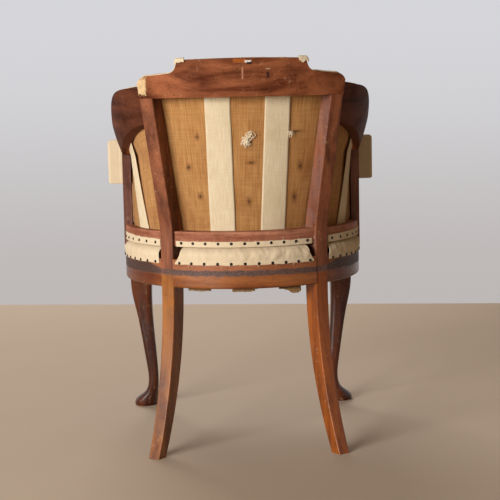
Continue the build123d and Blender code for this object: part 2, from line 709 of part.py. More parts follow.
# Tacking rails above the gap: back between the stiles, sides from stile to wing post
with BuildPart() as back_lower_rail:
    extrude(ring_band(LOWER_BOTTOM, BACK_LOWER_OUTER, BACK_LOWER_INNER), LOWER_RAIL_HEIGHT)
    add(both_sides(back_lower_dowels, BORE, BORE_LENGTH), mode=Mode.SUBTRACT)
    with Locations(*back_lower_tacks):
        Cylinder(TACK_BORE, TACK_BORE_LENGTH, mode=Mode.SUBTRACT)
finish(back_lower_rail, "back_lower_rail")

with BuildPart() as side_lower_rail_left:
    extrude(short_side_band(LOWER_BOTTOM, SIDE_LOWER_OUTER, UPRIGHT_INNER), LOWER_RAIL_HEIGHT)
    with Locations(*side_lower_dowels):
        Cylinder(BORE, BORE_LENGTH, mode=Mode.SUBTRACT)
    with Locations(*side_lower_tacks):
        Cylinder(TACK_BORE, TACK_BORE_LENGTH, mode=Mode.SUBTRACT)
finish(side_lower_rail_left, "side_lower_rail_left")
finish(mirrored(side_lower_rail_left), "side_lower_rail_right")


def plain_box(x0, x1, y0, y1, z0, z1):
    """Square-edged block between two corners, Y from the tub axis."""
    with BuildPart() as block:
        with BuildSketch(level(z0)):
            with Locations(((x0 + x1) / 2, (y0 + y1) / 2)):
                Rectangle(x1 - x0, y1 - y0)
        extrude(amount=z1 - z0)
    return block.part


# Wing post: stands on the side seat rail and carries the wing
with BuildPart() as wing_post_left:
    add(plain_box(UPRIGHT_INNER, SEAT_RADIUS, WING_POST_FRONT, WING_POST_BACK, RAIL_TOP, WING_SPRING))
    with Locations(
        *wing_post_dowels, *wing_neck_dowels, *side_lower_dowels[1:], *arm_wing_dowels, *arm_lower_back_dowels
    ):
        Cylinder(BORE, BORE_LENGTH, mode=Mode.SUBTRACT)
finish(wing_post_left, "wing_post_left")
finish(mirrored(wing_post_left), "wing_post_right")

# Wing: board bent round from the stile, swept down to the top of the wing post
with BuildPart() as wing_left:
    loft(wing_bands(WING_SPRING, WING_TOP + 6.0, 0.0, UPRIGHT_THICKNESS))
    with BuildSketch(side_view(0)):
        with BuildLine():
            sweep_edge = Spline(
                wing_place(0.0, 0.0),
                wing_place(0.05, 0.18),
                wing_place(0.20, 0.38),
                wing_place(0.40, 0.57),
                wing_place(0.53, 0.75),
                wing_place(0.66, 0.89),
                wing_place(0.83, 0.97),
                wing_place(1.40, 1.0),
            )
            arch_edge = Spline(
                (WING_POST_BACK, WING_SPRING),
                wing_place(0.30, 0.05),
                wing_place(0.55, 0.21),
                wing_place(0.79, 0.37),
                wing_place(1.01, 0.47),
                wing_place(1.40, 0.55),
            )
            Line(sweep_edge @ 1, arch_edge @ 1)
            Line(sweep_edge @ 0, arch_edge @ 0)
        make_face()
    extrude(amount=2 * SEAT_RADIUS, both=True, mode=Mode.INTERSECT)
    with Locations(*wing_neck_dowels, *wing_stile_dowels):
        Cylinder(BORE, BORE_LENGTH, mode=Mode.SUBTRACT)
finish(wing_left, "wing_left")
finish(mirrored(wing_left), "wing_right")

# Arm frame: front post on the side rail, top rail under the pad, tacking rail below
with BuildPart() as arm_post_left:
    add(plain_box(UPRIGHT_INNER, SEAT_RADIUS, -ARM_REACH, -ARM_POST_BACK, RAIL_TOP, ARM_RAIL_BOTTOM))
    with Locations(*arm_top_dowels, *arm_foot_dowels, *arm_lower_front_dowels):
        Cylinder(BORE, BORE_LENGTH, mode=Mode.SUBTRACT)
finish(arm_post_left, "arm_post_left")
finish(mirrored(arm_post_left), "arm_post_right")

with BuildPart() as arm_rail_left:
    add(plain_box(ARM_INNER, ARM_OUTER, -ARM_REACH, WING_POST_FRONT, ARM_RAIL_BOTTOM, ARM_RAIL_TOP))
    with Locations(*arm_top_dowels, *arm_wing_dowels):
        Cylinder(BORE, BORE_LENGTH, mode=Mode.SUBTRACT)
finish(arm_rail_left, "arm_rail_left")
finish(mirrored(arm_rail_left), "arm_rail_right")

with BuildPart() as arm_lower_rail_left:
    add(plain_box(UPRIGHT_INNER, SIDE_LOWER_OUTER, -ARM_POST_BACK, WING_POST_FRONT, LOWER_BOTTOM, LOWER_TOP))
    with Locations(*arm_lower_dowels):
        Cylinder(BORE, BORE_LENGTH, mode=Mode.SUBTRACT)
    with Locations(*arm_lower_tacks):
        Cylinder(TACK_BORE, TACK_BORE_LENGTH, mode=Mode.SUBTRACT)
finish(arm_lower_rail_left, "arm_lower_rail_left")
finish(mirrored(arm_lower_rail_left), "arm_lower_rail_right")

# Dowels and screws
with BuildPart() as seat_frame_dowels:
    add(both_sides(
        back_seat_dowels + side_seat_dowels + side_leg_dowels + front_leg_dowels, DOWEL_RADIUS, DOWEL_LENGTH
    ))
finish(seat_frame_dowels, "seat_frame_dowels")

with BuildPart() as back_frame_dowels:
    add(both_sides(
        crest_dowels + back_lower_dowels + side_lower_dowels + wing_neck_dowels + wing_stile_dowels,
        DOWEL_RADIUS,
        DOWEL_LENGTH,
    ))
finish(back_frame_dowels, "back_frame_dowels")

with BuildPart() as arm_frame_dowels:
    add(both_sides(
        wing_post_dowels + arm_wing_dowels + arm_top_dowels + arm_foot_dowels + arm_lower_dowels,
        DOWEL_RADIUS,
        DOWEL_LENGTH,
    ))
finish(arm_frame_dowels, "arm_frame_dowels")

with BuildPart() as block_screw_left:
    with Locations(screw_place):
        Cylinder(SCREW_RADIUS, SCREW_LENGTH, align=(Align.CENTER, Align.CENTER, Align.MAX))
        Cylinder(SCREW_HEAD, SCREW_HEAD_HEIGHT, align=(Align.CENTER, Align.CENTER, Align.MIN))
with BuildPart() as block_screws:
    add(block_screw_left.part)
    mirror(block_screw_left.part, about=Plane.YZ)
finish(block_screws, "block_screws")


def side_outline(x, inset, bottom):
    """Side view face of the space inside a wing and its post, kept back from the wing's edges."""
    with BuildSketch(side_view(x)) as outline:
        with BuildLine():
            edge = Spline(
                (WING_POST_FRONT, WING_SPRING),
                (wing_place(0.05, 0.18)[0] + inset, wing_place(0.05, 0.18)[1] - inset / 2),
                (wing_place(0.20, 0.38)[0] + inset, wing_place(0.20, 0.38)[1] - inset),
                (wing_place(0.40, 0.57)[0] + inset, wing_place(0.40, 0.57)[1] - inset),
                (wing_place(0.53, 0.75)[0] + inset, wing_place(0.53, 0.75)[1] - inset),
                (wing_place(0.66, 0.89)[0] + inset, wing_place(0.66, 0.89)[1] - inset),
                (wing_place(0.83, 0.97)[0] + inset, wing_place(0.83, 0.97)[1] - inset),
                (wing_place(1.40, 1.0)[0], wing_place(1.40, 1.0)[1] - inset),
            )
            Line(edge @ 0, (WING_POST_FRONT, bottom))
            Line((WING_POST_FRONT, bottom), ((edge @ 1).X, bottom))
            Line(((edge @ 1).X, bottom), edge @ 1)
        make_face()
    return outline.sketch


# Back straps: two upright webs on the inside of the back frame, under the hessian
BACK_STRAP_TOP = STILE_TOP + 0.45 * CREST_HEIGHT
LEFT_STRAP_FOOT = 42.0
LEFT_STRAP_HEAD = 50.0
RIGHT_STRAP_FOOT = -59.0
RIGHT_STRAP_HEAD = -73.0
BACK_MIDDLE = (LEAN_START + STILE_TOP) / 2
strap_heights = [STRAP_BOTTOM, LEAN_START, BACK_MIDDLE, STILE_TOP, BACK_STRAP_TOP]


def strap_middle(foot, head, z):
    """X of a back strap's centre line at height z."""
    return foot + (head - foot) * (z - STRAP_BOTTOM) / (BACK_STRAP_TOP - STRAP_BOTTOM)


with BuildPart() as back_webbing:
    loft(
        [back_strap_band(z, strap_middle(LEFT_STRAP_FOOT, LEFT_STRAP_HEAD, z)) for z in strap_heights],
        ruled=True,
    )
    loft(
        [back_strap_band(z, strap_middle(RIGHT_STRAP_FOOT, RIGHT_STRAP_HEAD, z)) for z in strap_heights],
        ruled=True,
    )
finish(back_webbing, "back_webbing")

# Back hessian: coarse cloth over the straps, from the tacking rail to the crest rail
with BuildPart() as back_hessian:
    loft([back_band(z, CLOTH + LAYER_FIT, CLOTH, CLOTH, PANEL_LAP) for z in strap_heights], ruled=True)
finish(back_hessian, "back_hessian")

# Back pad: stuffing over the hessian, thickest in the middle of the back
PAD_GAP = 2 * CLOTH + 3 * LAYER_FIT
BACK_PAD_TOP = STILE_TOP + 0.55 * CREST_HEIGHT
back_pad_edge = HALF_POST - 0.5
with BuildPart() as back_pad:
    loft(
        [
            back_band(PAD_BOTTOM, PAD_GAP, 0.7 * BACK_PAD_EDGE, 0.5 * BACK_PAD_DEPTH, back_pad_edge),
            back_band(LEAN_START, PAD_GAP, BACK_PAD_EDGE, 0.85 * BACK_PAD_DEPTH, back_pad_edge),
            back_band(BACK_MIDDLE, PAD_GAP, BACK_PAD_EDGE, BACK_PAD_DEPTH, back_pad_edge),
            back_band(STILE_TOP, PAD_GAP, BACK_PAD_EDGE, 0.8 * BACK_PAD_DEPTH, back_pad_edge),
            back_band(BACK_PAD_TOP, PAD_GAP, 0.5 * BACK_PAD_EDGE, 0.4 * BACK_PAD_DEPTH, back_pad_edge),
        ],
        ruled=True,
    )
finish(back_pad, "back_pad")

# Quarter panels between stile and wing: strap, hessian and pad, one behind the other
QUARTER_INSET = UPRIGHT_THICKNESS + 2.5
WING_CLOTH_TOP = WING_TOP - 10.0
with BuildPart() as quarter_webbing_left:
    loft(wing_bands(STRAP_BOTTOM, WING_CLOTH_TOP, QUARTER_INSET, CLOTH), ruled=True)
    with BuildSketch(side_view(0)):
        with BuildLine():
            Polyline(
                (SIDE_STRAP_FOOT, STRAP_BOTTOM),
                (SIDE_STRAP_FOOT + SIDE_STRAP_WIDTH, STRAP_BOTTOM),
                (SIDE_STRAP_HEAD + SIDE_STRAP_WIDTH, WING_SPRING + 0.56 * WING_HEIGHT),
                (SIDE_STRAP_HEAD, WING_SPRING + 0.44 * WING_HEIGHT),
                close=True,
            )
        make_face()
    extrude(amount=2 * SEAT_RADIUS, both=True, mode=Mode.INTERSECT)
finish(quarter_webbing_left, "quarter_webbing_left")
finish(mirrored(quarter_webbing_left), "quarter_webbing_right")

with BuildPart() as quarter_hessian_left:
    loft(wing_bands(STRAP_BOTTOM, WING_CLOTH_TOP, QUARTER_INSET + CLOTH + LAYER_FIT, CLOTH), ruled=True)
    extrude(side_outline(0, 8.0, STRAP_BOTTOM - 1.0), 2 * SEAT_RADIUS, both=True, mode=Mode.INTERSECT)
finish(quarter_hessian_left, "quarter_hessian_left")
finish(mirrored(quarter_hessian_left), "quarter_hessian_right")

side_pad_inset = QUARTER_INSET + 2 * CLOTH + 3 * LAYER_FIT
with BuildPart() as quarter_pad_left:
    loft(wing_bands(PAD_BOTTOM, WING_CLOTH_TOP, side_pad_inset, SIDE_PAD_DEPTH), ruled=True)
    extrude(side_outline(0, 6.0, PAD_BOTTOM - 1.0), 2 * SEAT_RADIUS, both=True, mode=Mode.INTERSECT)
finish(quarter_pad_left, "quarter_pad_left")
finish(mirrored(quarter_pad_left), "quarter_pad_right")

# Inside arm: strap and hessian on the uprights, pad inside them, stuffed roll on the arm rail
arm_middle = (WING_POST_FRONT - ARM_POST_BACK) / 2
with BuildPart() as arm_webbing_left:
    add(plain_box(
        UPRIGHT_INNER - CLOTH, UPRIGHT_INNER,
        arm_middle - SEAT_STRAP_WIDTH / 2, arm_middle + SEAT_STRAP_WIDTH / 2,
        STRAP_BOTTOM, ARM_RAIL_BOTTOM - 1.0,
    ))
finish(arm_webbing_left, "arm_webbing_left")
finish(mirrored(arm_webbing_left), "arm_webbing_right")

with BuildPart() as arm_hessian_left:
    add(plain_box(
        UPRIGHT_INNER - 2 * CLOTH, UPRIGHT_INNER - CLOTH,
        -ARM_REACH + 4.0, WING_POST_FRONT - 1.0,
        STRAP_BOTTOM, ARM_RAIL_BOTTOM - 1.0,
    ))
finish(arm_hessian_left, "arm_hessian_left")
finish(mirrored(arm_hessian_left), "arm_hessian_right")

with BuildPart() as inside_arm_pad_left:
    add(plain_box(
        SEAT_RADIUS - side_pad_inset - SIDE_PAD_DEPTH, SEAT_RADIUS - side_pad_inset,
        -ARM_REACH - 2.0, WING_POST_FRONT - 0.5,
        PAD_BOTTOM, ARM_RAIL_BOTTOM - 1.0,
    ))
    front_edges = inside_arm_pad_left.faces().sort_by(Axis.X)[0].edges()
    fillet(front_edges, 0.35 * SIDE_PAD_DEPTH)
finish(inside_arm_pad_left, "inside_arm_pad_left")
finish(mirrored(inside_arm_pad_left), "inside_arm_pad_right")

arm_pad_left_x = ARM_OUTER + ARM_PAD_OUTER
arm_pad_right_x = ARM_INNER - ARM_PAD_INNER
with BuildPart() as arm_pad_left:
    with BuildSketch(front_view(WING_POST_FRONT - 2.0)):
        with Locations(((arm_pad_left_x + arm_pad_right_x) / 2, ARM_RAIL_BOTTOM + ARM_PAD_HEIGHT / 2)):
            RectangleRounded(arm_pad_left_x - arm_pad_right_x, ARM_PAD_HEIGHT, ARM_PAD_ROUND)
    extrude(amount=ARM_REACH + WING_POST_FRONT - 2.0 + ARM_PAD_FRONT)
    fillet(arm_pad_left.faces().sort_by(Axis.Y)[0].edges(), 0.5 * ARM_PAD_ROUND)
    add(
        plain_box(ARM_INNER, ARM_OUTER, -ARM_REACH, WING_POST_FRONT, ARM_RAIL_BOTTOM - 1.0, ARM_RAIL_TOP),
        mode=Mode.SUBTRACT,
    )
finish(arm_pad_left, "arm_pad_left")
finish(mirrored(arm_pad_left), "arm_pad_right")

# Seat webbing: straps tacked under the rails and woven over and under each other
strap_z = RAIL_BOTTOM - CLOTH / 2
strap_dip = CLOTH + 0.1
strap_rows = (-1.35 * SEAT_STRAP_SPACING, -0.35 * SEAT_STRAP_SPACING, 0.65 * SEAT_STRAP_SPACING)
strap_columns = (-SEAT_STRAP_SPACING, 0.0, SEAT_STRAP_SPACING)
strap_lap = 10.0


def strap_path(start, end, crossings, first_dips):
    """Side view points of a strap that dips under every second strap it crosses."""
    points = [(start, strap_z)]
    for i, crossing in enumerate(crossings):
        if (i % 2 == 0) == first_dips:
            half = SEAT_STRAP_WIDTH / 2
            points.append((crossing - half - 12.0, strap_z))
            points.append((crossing - half - 1.0, strap_z - strap_dip))
            points.append((crossing + half + 1.0, strap_z - strap_dip))
            points.append((crossing + half + 12.0, strap_z))
    points.append((end, strap_z))
    return points


with BuildPart() as seat_webbing:
    for i, x in enumerate(strap_columns):
        back_y = sqrt((SEAT_RADIUS - strap_lap) ** 2 - (abs(x) + SEAT_STRAP_WIDTH / 2) ** 2)
        with BuildSketch(side_view(x)):
            with BuildLine():
                Polyline(*strap_path(-FRONT_FACE + strap_lap, back_y, strap_rows, i % 2 == 0))
            trace(line_width=CLOTH)
        extrude(amount=SEAT_STRAP_WIDTH / 2, both=True)
    for i, y in enumerate(strap_rows):
        reach = SEAT_RADIUS - strap_lap
        if y + SEAT_STRAP_WIDTH / 2 > 0:
            reach = sqrt(reach**2 - (y + SEAT_STRAP_WIDTH / 2) ** 2)
        with BuildSketch(front_view(y)):
            with BuildLine():
                Polyline(*strap_path(-reach, reach, strap_columns, i % 2 == 1))
            trace(line_width=CLOTH)
        extrude(amount=SEAT_STRAP_WIDTH / 2, both=True)
finish(seat_webbing, "seat_webbing")

# Seat springs: one coil on each crossing of the straps
spring_height = RAIL_HEIGHT - 2 * SPRING_WIRE - 0.4
with BuildPart() as one_spring:
    with BuildLine() as coil:
        Helix(spring_height / SPRING_TURNS, spring_height, SPRING_RADIUS)
    with BuildSketch(Plane(origin=coil.line @ 0, z_dir=coil.line % 0)):
        Circle(SPRING_WIRE)
    sweep(is_frenet=True)
with BuildPart() as seat_springs:
    for x in strap_columns:
        for y in strap_rows:
            with Locations((x, AXIS_Y + y, RAIL_BOTTOM + SPRING_WIRE + 0.2)):
                add(one_spring.part)
finish(seat_springs, "seat_springs")


def seat_plan(z, radius, front, front_half):
    """Level face of a seat layer: half round behind, square in front, wider before the arm posts."""
    with BuildSketch(level(z)) as plan:
        Circle(radius)
        with Locations((0, -front / 2)):
            Rectangle(2 * radius, front)
        with Locations((0, -(front + ARM_REACH + 4.0) / 2)):
            Rectangle(2 * front_half, front - ARM_REACH - 4.0)
    return plan.sketch


def post_notch(z0, z1):
    """Space kept clear round both rear posts."""
    with BuildPart() as notch:
        with BuildSketch(level(z0)):
            with BuildLine():
                Polyline(
                    post_point(30.0, -HALF_POST - 2.0),
                    post_point(30.0, HALF_POST + 2.0),
                    post_point(-POST_DEPTH - 2.0, HALF_POST + 2.0),
                    post_point(-POST_DEPTH - 2.0, -HALF_POST - 2.0),
                    close=True,
                )
            make_face()
        extrude(amount=z1 - z0)
        mirror(notch.part, about=Plane.YZ)
    return notch.part


# Seat hessian over the springs, tacked on the rails
HESSIAN_TOP = RAIL_TOP + CLOTH
SLAB_RADIUS = UPRIGHT_INNER - 4.0
with BuildPart() as seat_hessian:
    extrude(seat_plan(RAIL_TOP, SLAB_RADIUS + 1.0, FRONT_FACE - 12.0, SEAT_RADIUS - 12.0), CLOTH)
    add(post_notch(RAIL_TOP - 1.0, HESSIAN_TOP + 1.0), mode=Mode.SUBTRACT)
finish(seat_hessian, "seat_hessian")

# Seat pad: stuffing that bulges out below the tacking rails and crowns between the pads
SLAB_TOP = LOWER_BOTTOM - 2.0
crown_side = SEAT_RADIUS - side_pad_inset - SIDE_PAD_DEPTH - 3.0
crown_back = BACK_LOWER_INNER - PAD_GAP - BACK_PAD_DEPTH - 3.0
crown_corner = post_point(-POST_DEPTH - PAD_GAP - BACK_PAD_EDGE - 8.0, HALF_POST - 6.0)
with BuildPart() as seat_pad:
    extrude(seat_plan(HESSIAN_TOP, SLAB_RADIUS, FRONT_FACE - 3.0, SEAT_RADIUS - 4.0), SLAB_TOP - HESSIAN_TOP)
    add(post_notch(HESSIAN_TOP - 1.0, SLAB_TOP + 1.0), mode=Mode.SUBTRACT)
    with BuildSketch(level(SLAB_TOP)) as crown_plan:
        with BuildLine():
            for side in (1, -1):
                TangentArc((side * crown_side, 0), (side * crown_corner[0], crown_corner[1]), tangent=(0, 1))
                Line((side * crown_side, 0), (side * crown_side, -FRONT_FACE + 3.0))
            ThreePointArc(
                (-crown_corner[0], crown_corner[1]), (0, crown_back), (crown_corner[0], crown_corner[1])
            )
            Line((-crown_side, -FRONT_FACE + 3.0), (crown_side, -FRONT_FACE + 3.0))
        make_face()
        fillet(crown_plan.vertices().sort_by(Axis.Y)[:2], SEAT_CORNER_ROUND)
        fillet(crown_plan.vertices().sort_by(Axis.Y)[-2:], SEAT_CORNER_ROUND)
    extrude(amount=SEAT_CROWN)
    with Locations((0, AXIS_Y - 0.1 * FRONT_FACE, HESSIAN_TOP + SEAT_CROWN - SEAT_CROWN_RADIUS)):
        Sphere(SEAT_CROWN_RADIUS, mode=Mode.INTERSECT)
    fillet(seat_pad.faces().sort_by(Axis.Z)[-1].edges(), SEAT_EDGE_ROUND)
finish(seat_pad, "seat_pad")

# Cut cloth edges tacked along the rails
seat_strip_bottom = RAIL_TOP - STRIP_WIDTH
with BuildPart() as seat_edge_back:
    extrude(ring_band(seat_strip_bottom, SEAT_RADIUS + STRIP_CLOTH, SEAT_RADIUS + STRIP_FIT), STRIP_WIDTH)
    with Locations(*back_seat_tacks):
        Cylinder(TACK_BORE, TACK_BORE_LENGTH, mode=Mode.SUBTRACT)
finish(seat_edge_back, "seat_edge_back")

with BuildPart() as seat_edge_left:
    extrude(
        side_band(seat_strip_bottom, SEAT_RADIUS + STRIP_CLOTH, SEAT_RADIUS + STRIP_FIT, FRONT_FACE), STRIP_WIDTH
    )
    with Locations(*side_seat_tacks):
        Cylinder(TACK_BORE, TACK_BORE_LENGTH, mode=Mode.SUBTRACT)
finish(seat_edge_left, "seat_edge_left")
finish(mirrored(seat_edge_left), "seat_edge_right")

with BuildPart() as seat_edge_front:
    with BuildSketch(level(seat_strip_bottom)):
        with BuildLine():
            for drop in (STRIP_FIT, STRIP_CLOTH):
                ThreePointArc(
                    (-LEG_INNER, -FRONT_FACE - drop),
                    (0, -FRONT_FACE - FRONT_BOW - drop),
                    (LEG_INNER, -FRONT_FACE - drop),
                )
                Line((LEG_INNER, -FRONT_FACE - drop), (SEAT_RADIUS, -FRONT_FACE - drop))
                Line((-LEG_INNER, -FRONT_FACE - drop), (-SEAT_RADIUS, -FRONT_FACE - drop))
            Line((SEAT_RADIUS, -FRONT_FACE - STRIP_FIT), (SEAT_RADIUS, -FRONT_FACE - STRIP_CLOTH))
            Line((-SEAT_RADIUS, -FRONT_FACE - STRIP_FIT), (-SEAT_RADIUS, -FRONT_FACE - STRIP_CLOTH))
        make_face()
    extrude(amount=STRIP_WIDTH)
    with Locations(*front_tacks):
        Cylinder(TACK_BORE, TACK_BORE_LENGTH, mode=Mode.SUBTRACT)
finish(seat_edge_front, "seat_edge_front")

with BuildPart() as lower_edge_back:
    extrude(ring_band(LOWER_BOTTOM, BACK_LOWER_OUTER + STRIP_CLOTH, BACK_LOWER_OUTER + STRIP_FIT), STRIP_WIDTH)
    with Locations(*back_lower_tacks):
        Cylinder(TACK_BORE, TACK_BORE_LENGTH, mode=Mode.SUBTRACT)
finish(lower_edge_back, "lower_edge_back")

with BuildPart() as lower_edge_left:
    extrude(
        short_side_band(LOWER_BOTTOM, SIDE_LOWER_OUTER + STRIP_CLOTH, SIDE_LOWER_OUTER + STRIP_FIT), STRIP_WIDTH
    )
    add(plain_box(
        SIDE_LOWER_OUTER + STRIP_FIT, SIDE_LOWER_OUTER + STRIP_CLOTH,
        -ARM_POST_BACK, WING_POST_FRONT, LOWER_BOTTOM, LOWER_BOTTOM + STRIP_WIDTH,
    ))
    with Locations(*side_lower_tacks, *arm_lower_tacks):
        Cylinder(TACK_BORE, TACK_BORE_LENGTH, mode=Mode.SUBTRACT)
finish(lower_edge_left, "lower_edge_left")
finish(mirrored(lower_edge_left), "lower_edge_right")


def tacks(places):
    """Tacks with a low domed head and a thin shank, heads outward."""
    with BuildPart() as row:
        with Locations(*places):
            Cone(TACK_HEAD, 0.6 * TACK_HEAD, TACK_HEAD_HEIGHT, align=(Align.CENTER, Align.CENTER, Align.MIN))
            Cylinder(TACK_SHANK, TACK_LENGTH, align=(Align.CENTER, Align.CENTER, Align.MAX))
    return row.part


# Tacks, one node for the seat rails and one for the tacking rails
with BuildPart() as seat_tacks:
    add(tacks(back_seat_tacks + front_tacks))
    add(tacks(side_seat_tacks))
    mirror(tacks(side_seat_tacks), about=Plane.YZ)
finish(seat_tacks, "seat_tacks")

with BuildPart() as lower_tacks:
    add(tacks(back_lower_tacks))
    add(tacks(side_lower_tacks + arm_lower_tacks))
    mirror(tacks(side_lower_tacks + arm_lower_tacks), about=Plane.YZ)
finish(lower_tacks, "lower_tacks")
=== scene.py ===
import math

import bmesh
import bpy
from mathutils import Matrix, Vector, noise


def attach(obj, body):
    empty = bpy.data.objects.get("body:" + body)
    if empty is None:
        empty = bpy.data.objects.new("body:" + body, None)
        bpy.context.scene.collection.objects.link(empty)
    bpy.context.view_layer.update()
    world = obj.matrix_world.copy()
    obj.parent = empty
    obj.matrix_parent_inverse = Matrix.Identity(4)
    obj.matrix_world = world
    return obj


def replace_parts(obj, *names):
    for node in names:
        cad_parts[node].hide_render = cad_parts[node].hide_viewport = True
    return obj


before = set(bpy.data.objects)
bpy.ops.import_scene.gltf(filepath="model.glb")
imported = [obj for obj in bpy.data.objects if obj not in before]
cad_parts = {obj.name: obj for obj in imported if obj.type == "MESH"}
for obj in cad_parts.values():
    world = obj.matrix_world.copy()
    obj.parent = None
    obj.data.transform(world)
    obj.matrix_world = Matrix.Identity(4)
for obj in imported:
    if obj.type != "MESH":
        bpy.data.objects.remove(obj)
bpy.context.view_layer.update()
scene = bpy.context.scene
scene.view_settings.view_transform = "Standard"


# The camera stands behind the chair, about as high as the crest rail, and looks slightly down.
# Its long lens keeps the posts nearly parallel, and it leans by about one degree.
EYE = (0.058, 2.82424, 0.740)
EYE_TURN = math.radians(-1.5)
EYE_DIP = math.radians(6.91)
EYE_LEAN = math.radians(1.2)
camera = bpy.data.objects.new("camera", bpy.data.cameras.new("camera"))
camera.data.sensor_width = 36.0
camera.data.lens = 93.9
camera.matrix_world = (
    Matrix.Translation(EYE)
    @ Matrix.Rotation(math.pi + EYE_TURN, 4, "Z")
    @ Matrix.Rotation(math.pi / 2 - EYE_DIP, 4, "X")
    @ Matrix.Rotation(-EYE_LEAN, 4, "Z")
)
scene.collection.objects.link(camera)
scene.camera = camera


# Studio: a plain pale floor that ends some way beyond the chair and fades out into a pale backdrop, one
# large soft lamp on the chair's left, a weaker one in front and a weak even light. None of it belongs
# to the chair.
FLOOR_EDGE = -1.71
FLOOR_HALF = 3.6
FLOOR_TURN = math.radians(-7.7)
FADE_START = 2.2
FADE_END = 3.3


def paint(red, green, blue):
    """A colour given as it looks on a screen, from 0 to 255, as the shader's linear colour."""
    return tuple((level / 255) ** 2.2 for level in (red, green, blue)) + (1.0,)


def put(tree, kind, inputs=None, **settings):
    """Adds one node, sets its properties, then fills or links its input sockets."""
    node = tree.nodes.new(kind)
    for key, value in settings.items():
        setattr(node, key, value)
    for key, value in (inputs or {}).items():
        if isinstance(value, bpy.types.NodeSocket):
            tree.links.new(value, node.inputs[key])
        else:
            node.inputs[key].default_value = value
    return node


def reckon(tree, operation, first, second=0.0, clamp=False):
    """One sum on two values."""
    inputs = {0: first, 1: second}
    return put(tree, "ShaderNodeMath", inputs, operation=operation, use_clamp=clamp).outputs[0]


def axes(tree, place):
    """The x, y and z of a place."""
    return put(tree, "ShaderNodeSeparateXYZ", {0: place}).outputs


def length_of(tree, offset):
    """How long an offset is."""
    return put(tree, "ShaderNodeVectorMath", {0: offset}, operation="LENGTH").outputs["Value"]


def rise(tree, value, low, high):
    """A mask that goes smoothly from 0 at low to 1 at high."""
    inputs = {"Value": value, "From Min": low, "From Max": high}
    return put(tree, "ShaderNodeMapRange", inputs, interpolation_type="SMOOTHSTEP").outputs[0]


def tint(tree, amount, under, over, how="MIX"):
    """Lays one colour over another by an amount."""
    inputs = {0: amount, 6: under, 7: over}
    return put(tree, "ShaderNodeMix", inputs, data_type="RGBA", blend_type=how).outputs[2]


def speckle(tree, place, scale, detail=4.0, roughness=0.6, distortion=0.0):
    """Cloudy noise on a place, at so many lumps to the metre."""
    inputs = {"Vector": place, "Scale": scale, "Detail": detail, "Roughness": roughness}
    inputs["Distortion"] = distortion
    return put(tree, "ShaderNodeTexNoise", inputs).outputs["Fac"]


def new_finish(name):
    """A material with one Principled shader, and its tree, its shader and the place on the piece."""
    finish = bpy.data.materials.new(name)
    finish.use_nodes = True
    tree = finish.node_tree
    shader = tree.nodes["Principled BSDF"]
    place = put(tree, "ShaderNodeTexCoord").outputs["Object"]
    return finish, tree, shader, place


def roughen(tree, shader, height, depth):
    """Turns a height from 0 to 1 into relief that is so many metres deep."""
    inputs = {"Height": height, "Distance": depth, "Strength": 1.0}
    tree.links.new(put(tree, "ShaderNodeBump", inputs).outputs["Normal"], shader.inputs["Normal"])


floor_paint, floor_tree, floor_shader, floor_place = new_finish("floor_paint")
cloud = speckle(floor_tree, floor_place, 1.6)
floor_colour = tint(floor_tree, cloud, paint(184, 166, 148), paint(191, 175, 158))
floor_tree.links.new(floor_colour, floor_shader.inputs["Base Color"])
solid = rise(floor_tree, length_of(floor_tree, floor_place), FADE_END, FADE_START)
floor_tree.links.new(solid, floor_shader.inputs["Alpha"])
floor_shader.inputs["Roughness"].default_value = 0.85
floor_shader.inputs["Specular IOR Level"].default_value = 0.2
mesh = bmesh.new()
bmesh.ops.create_grid(mesh, x_segments=1, y_segments=1, size=FLOOR_HALF)
bmesh.ops.translate(mesh, verts=mesh.verts, vec=(0, FLOOR_EDGE + FLOOR_HALF, 0))
turned = Matrix.Rotation(FLOOR_TURN, 3, "Z")
bmesh.ops.rotate(mesh, verts=mesh.verts, cent=(0, FLOOR_EDGE, 0), matrix=turned)
floor_mesh = bpy.data.meshes.new("floor")
mesh.to_mesh(floor_mesh)
mesh.free()
floor_mesh.materials.append(floor_paint)
floor = bpy.data.objects.new("floor", floor_mesh)
scene.collection.objects.link(floor)


def soft_lamp(name, spot, aim, size, power, colour):
    """A square area lamp that faces a point."""
    light = bpy.data.lights.new(name, "AREA")
    light.size = size
    light.energy = power
    light.color = colour
    lamp = bpy.data.objects.new(name, light)
    lamp.location = spot
    lamp.rotation_euler = (Vector(aim) - Vector(spot)).to_track_quat("-Z", "Y").to_euler()
    scene.collection.objects.link(lamp)


soft_lamp("key_lamp", (3.5, 4.25, 1.75), (0, 0, 6.0), 2.8, 605.0, (1.0, 0.97, 0.92))
soft_lamp("front_lamp", (0.9, -3.8, 3.2), (0, 0, 0.4), 2.4, 120.0, (1.0, 0.97, 0.93))
world = bpy.data.worlds.new("studio_light")
world.use_nodes = True
studio = world.node_tree
backdrop = studio.nodes["Background"]
outlook = axes(studio, put(studio, "ShaderNodeTexCoord").outputs["Generated"])[2]
pale = tint(studio, rise(studio, outlook, -0.16, 0.05), paint(188, 182, 180), paint(212, 212, 216))
studio.links.new(pale, backdrop.inputs["Color"])
even_light = put(studio, "ShaderNodeBackground", {"Color": (1.0, 0.70, 0.44, 1.0), "Strength": 0.18})
rays = put(studio, "ShaderNodeLightPath").outputs
seen = reckon(studio, "ADD", rays["Is Camera Ray"], rays["Is Glossy Ray"])
seen = reckon(studio, "ADD", seen, rays["Is Transmission Ray"], clamp=True)
both = put(studio, "ShaderNodeMixShader", {0: seen, 1: even_light.outputs[0], 2: backdrop.outputs[0]})
studio.links.new(both.outputs[0], studio.nodes["World Output"].inputs["Surface"])
scene.world = world


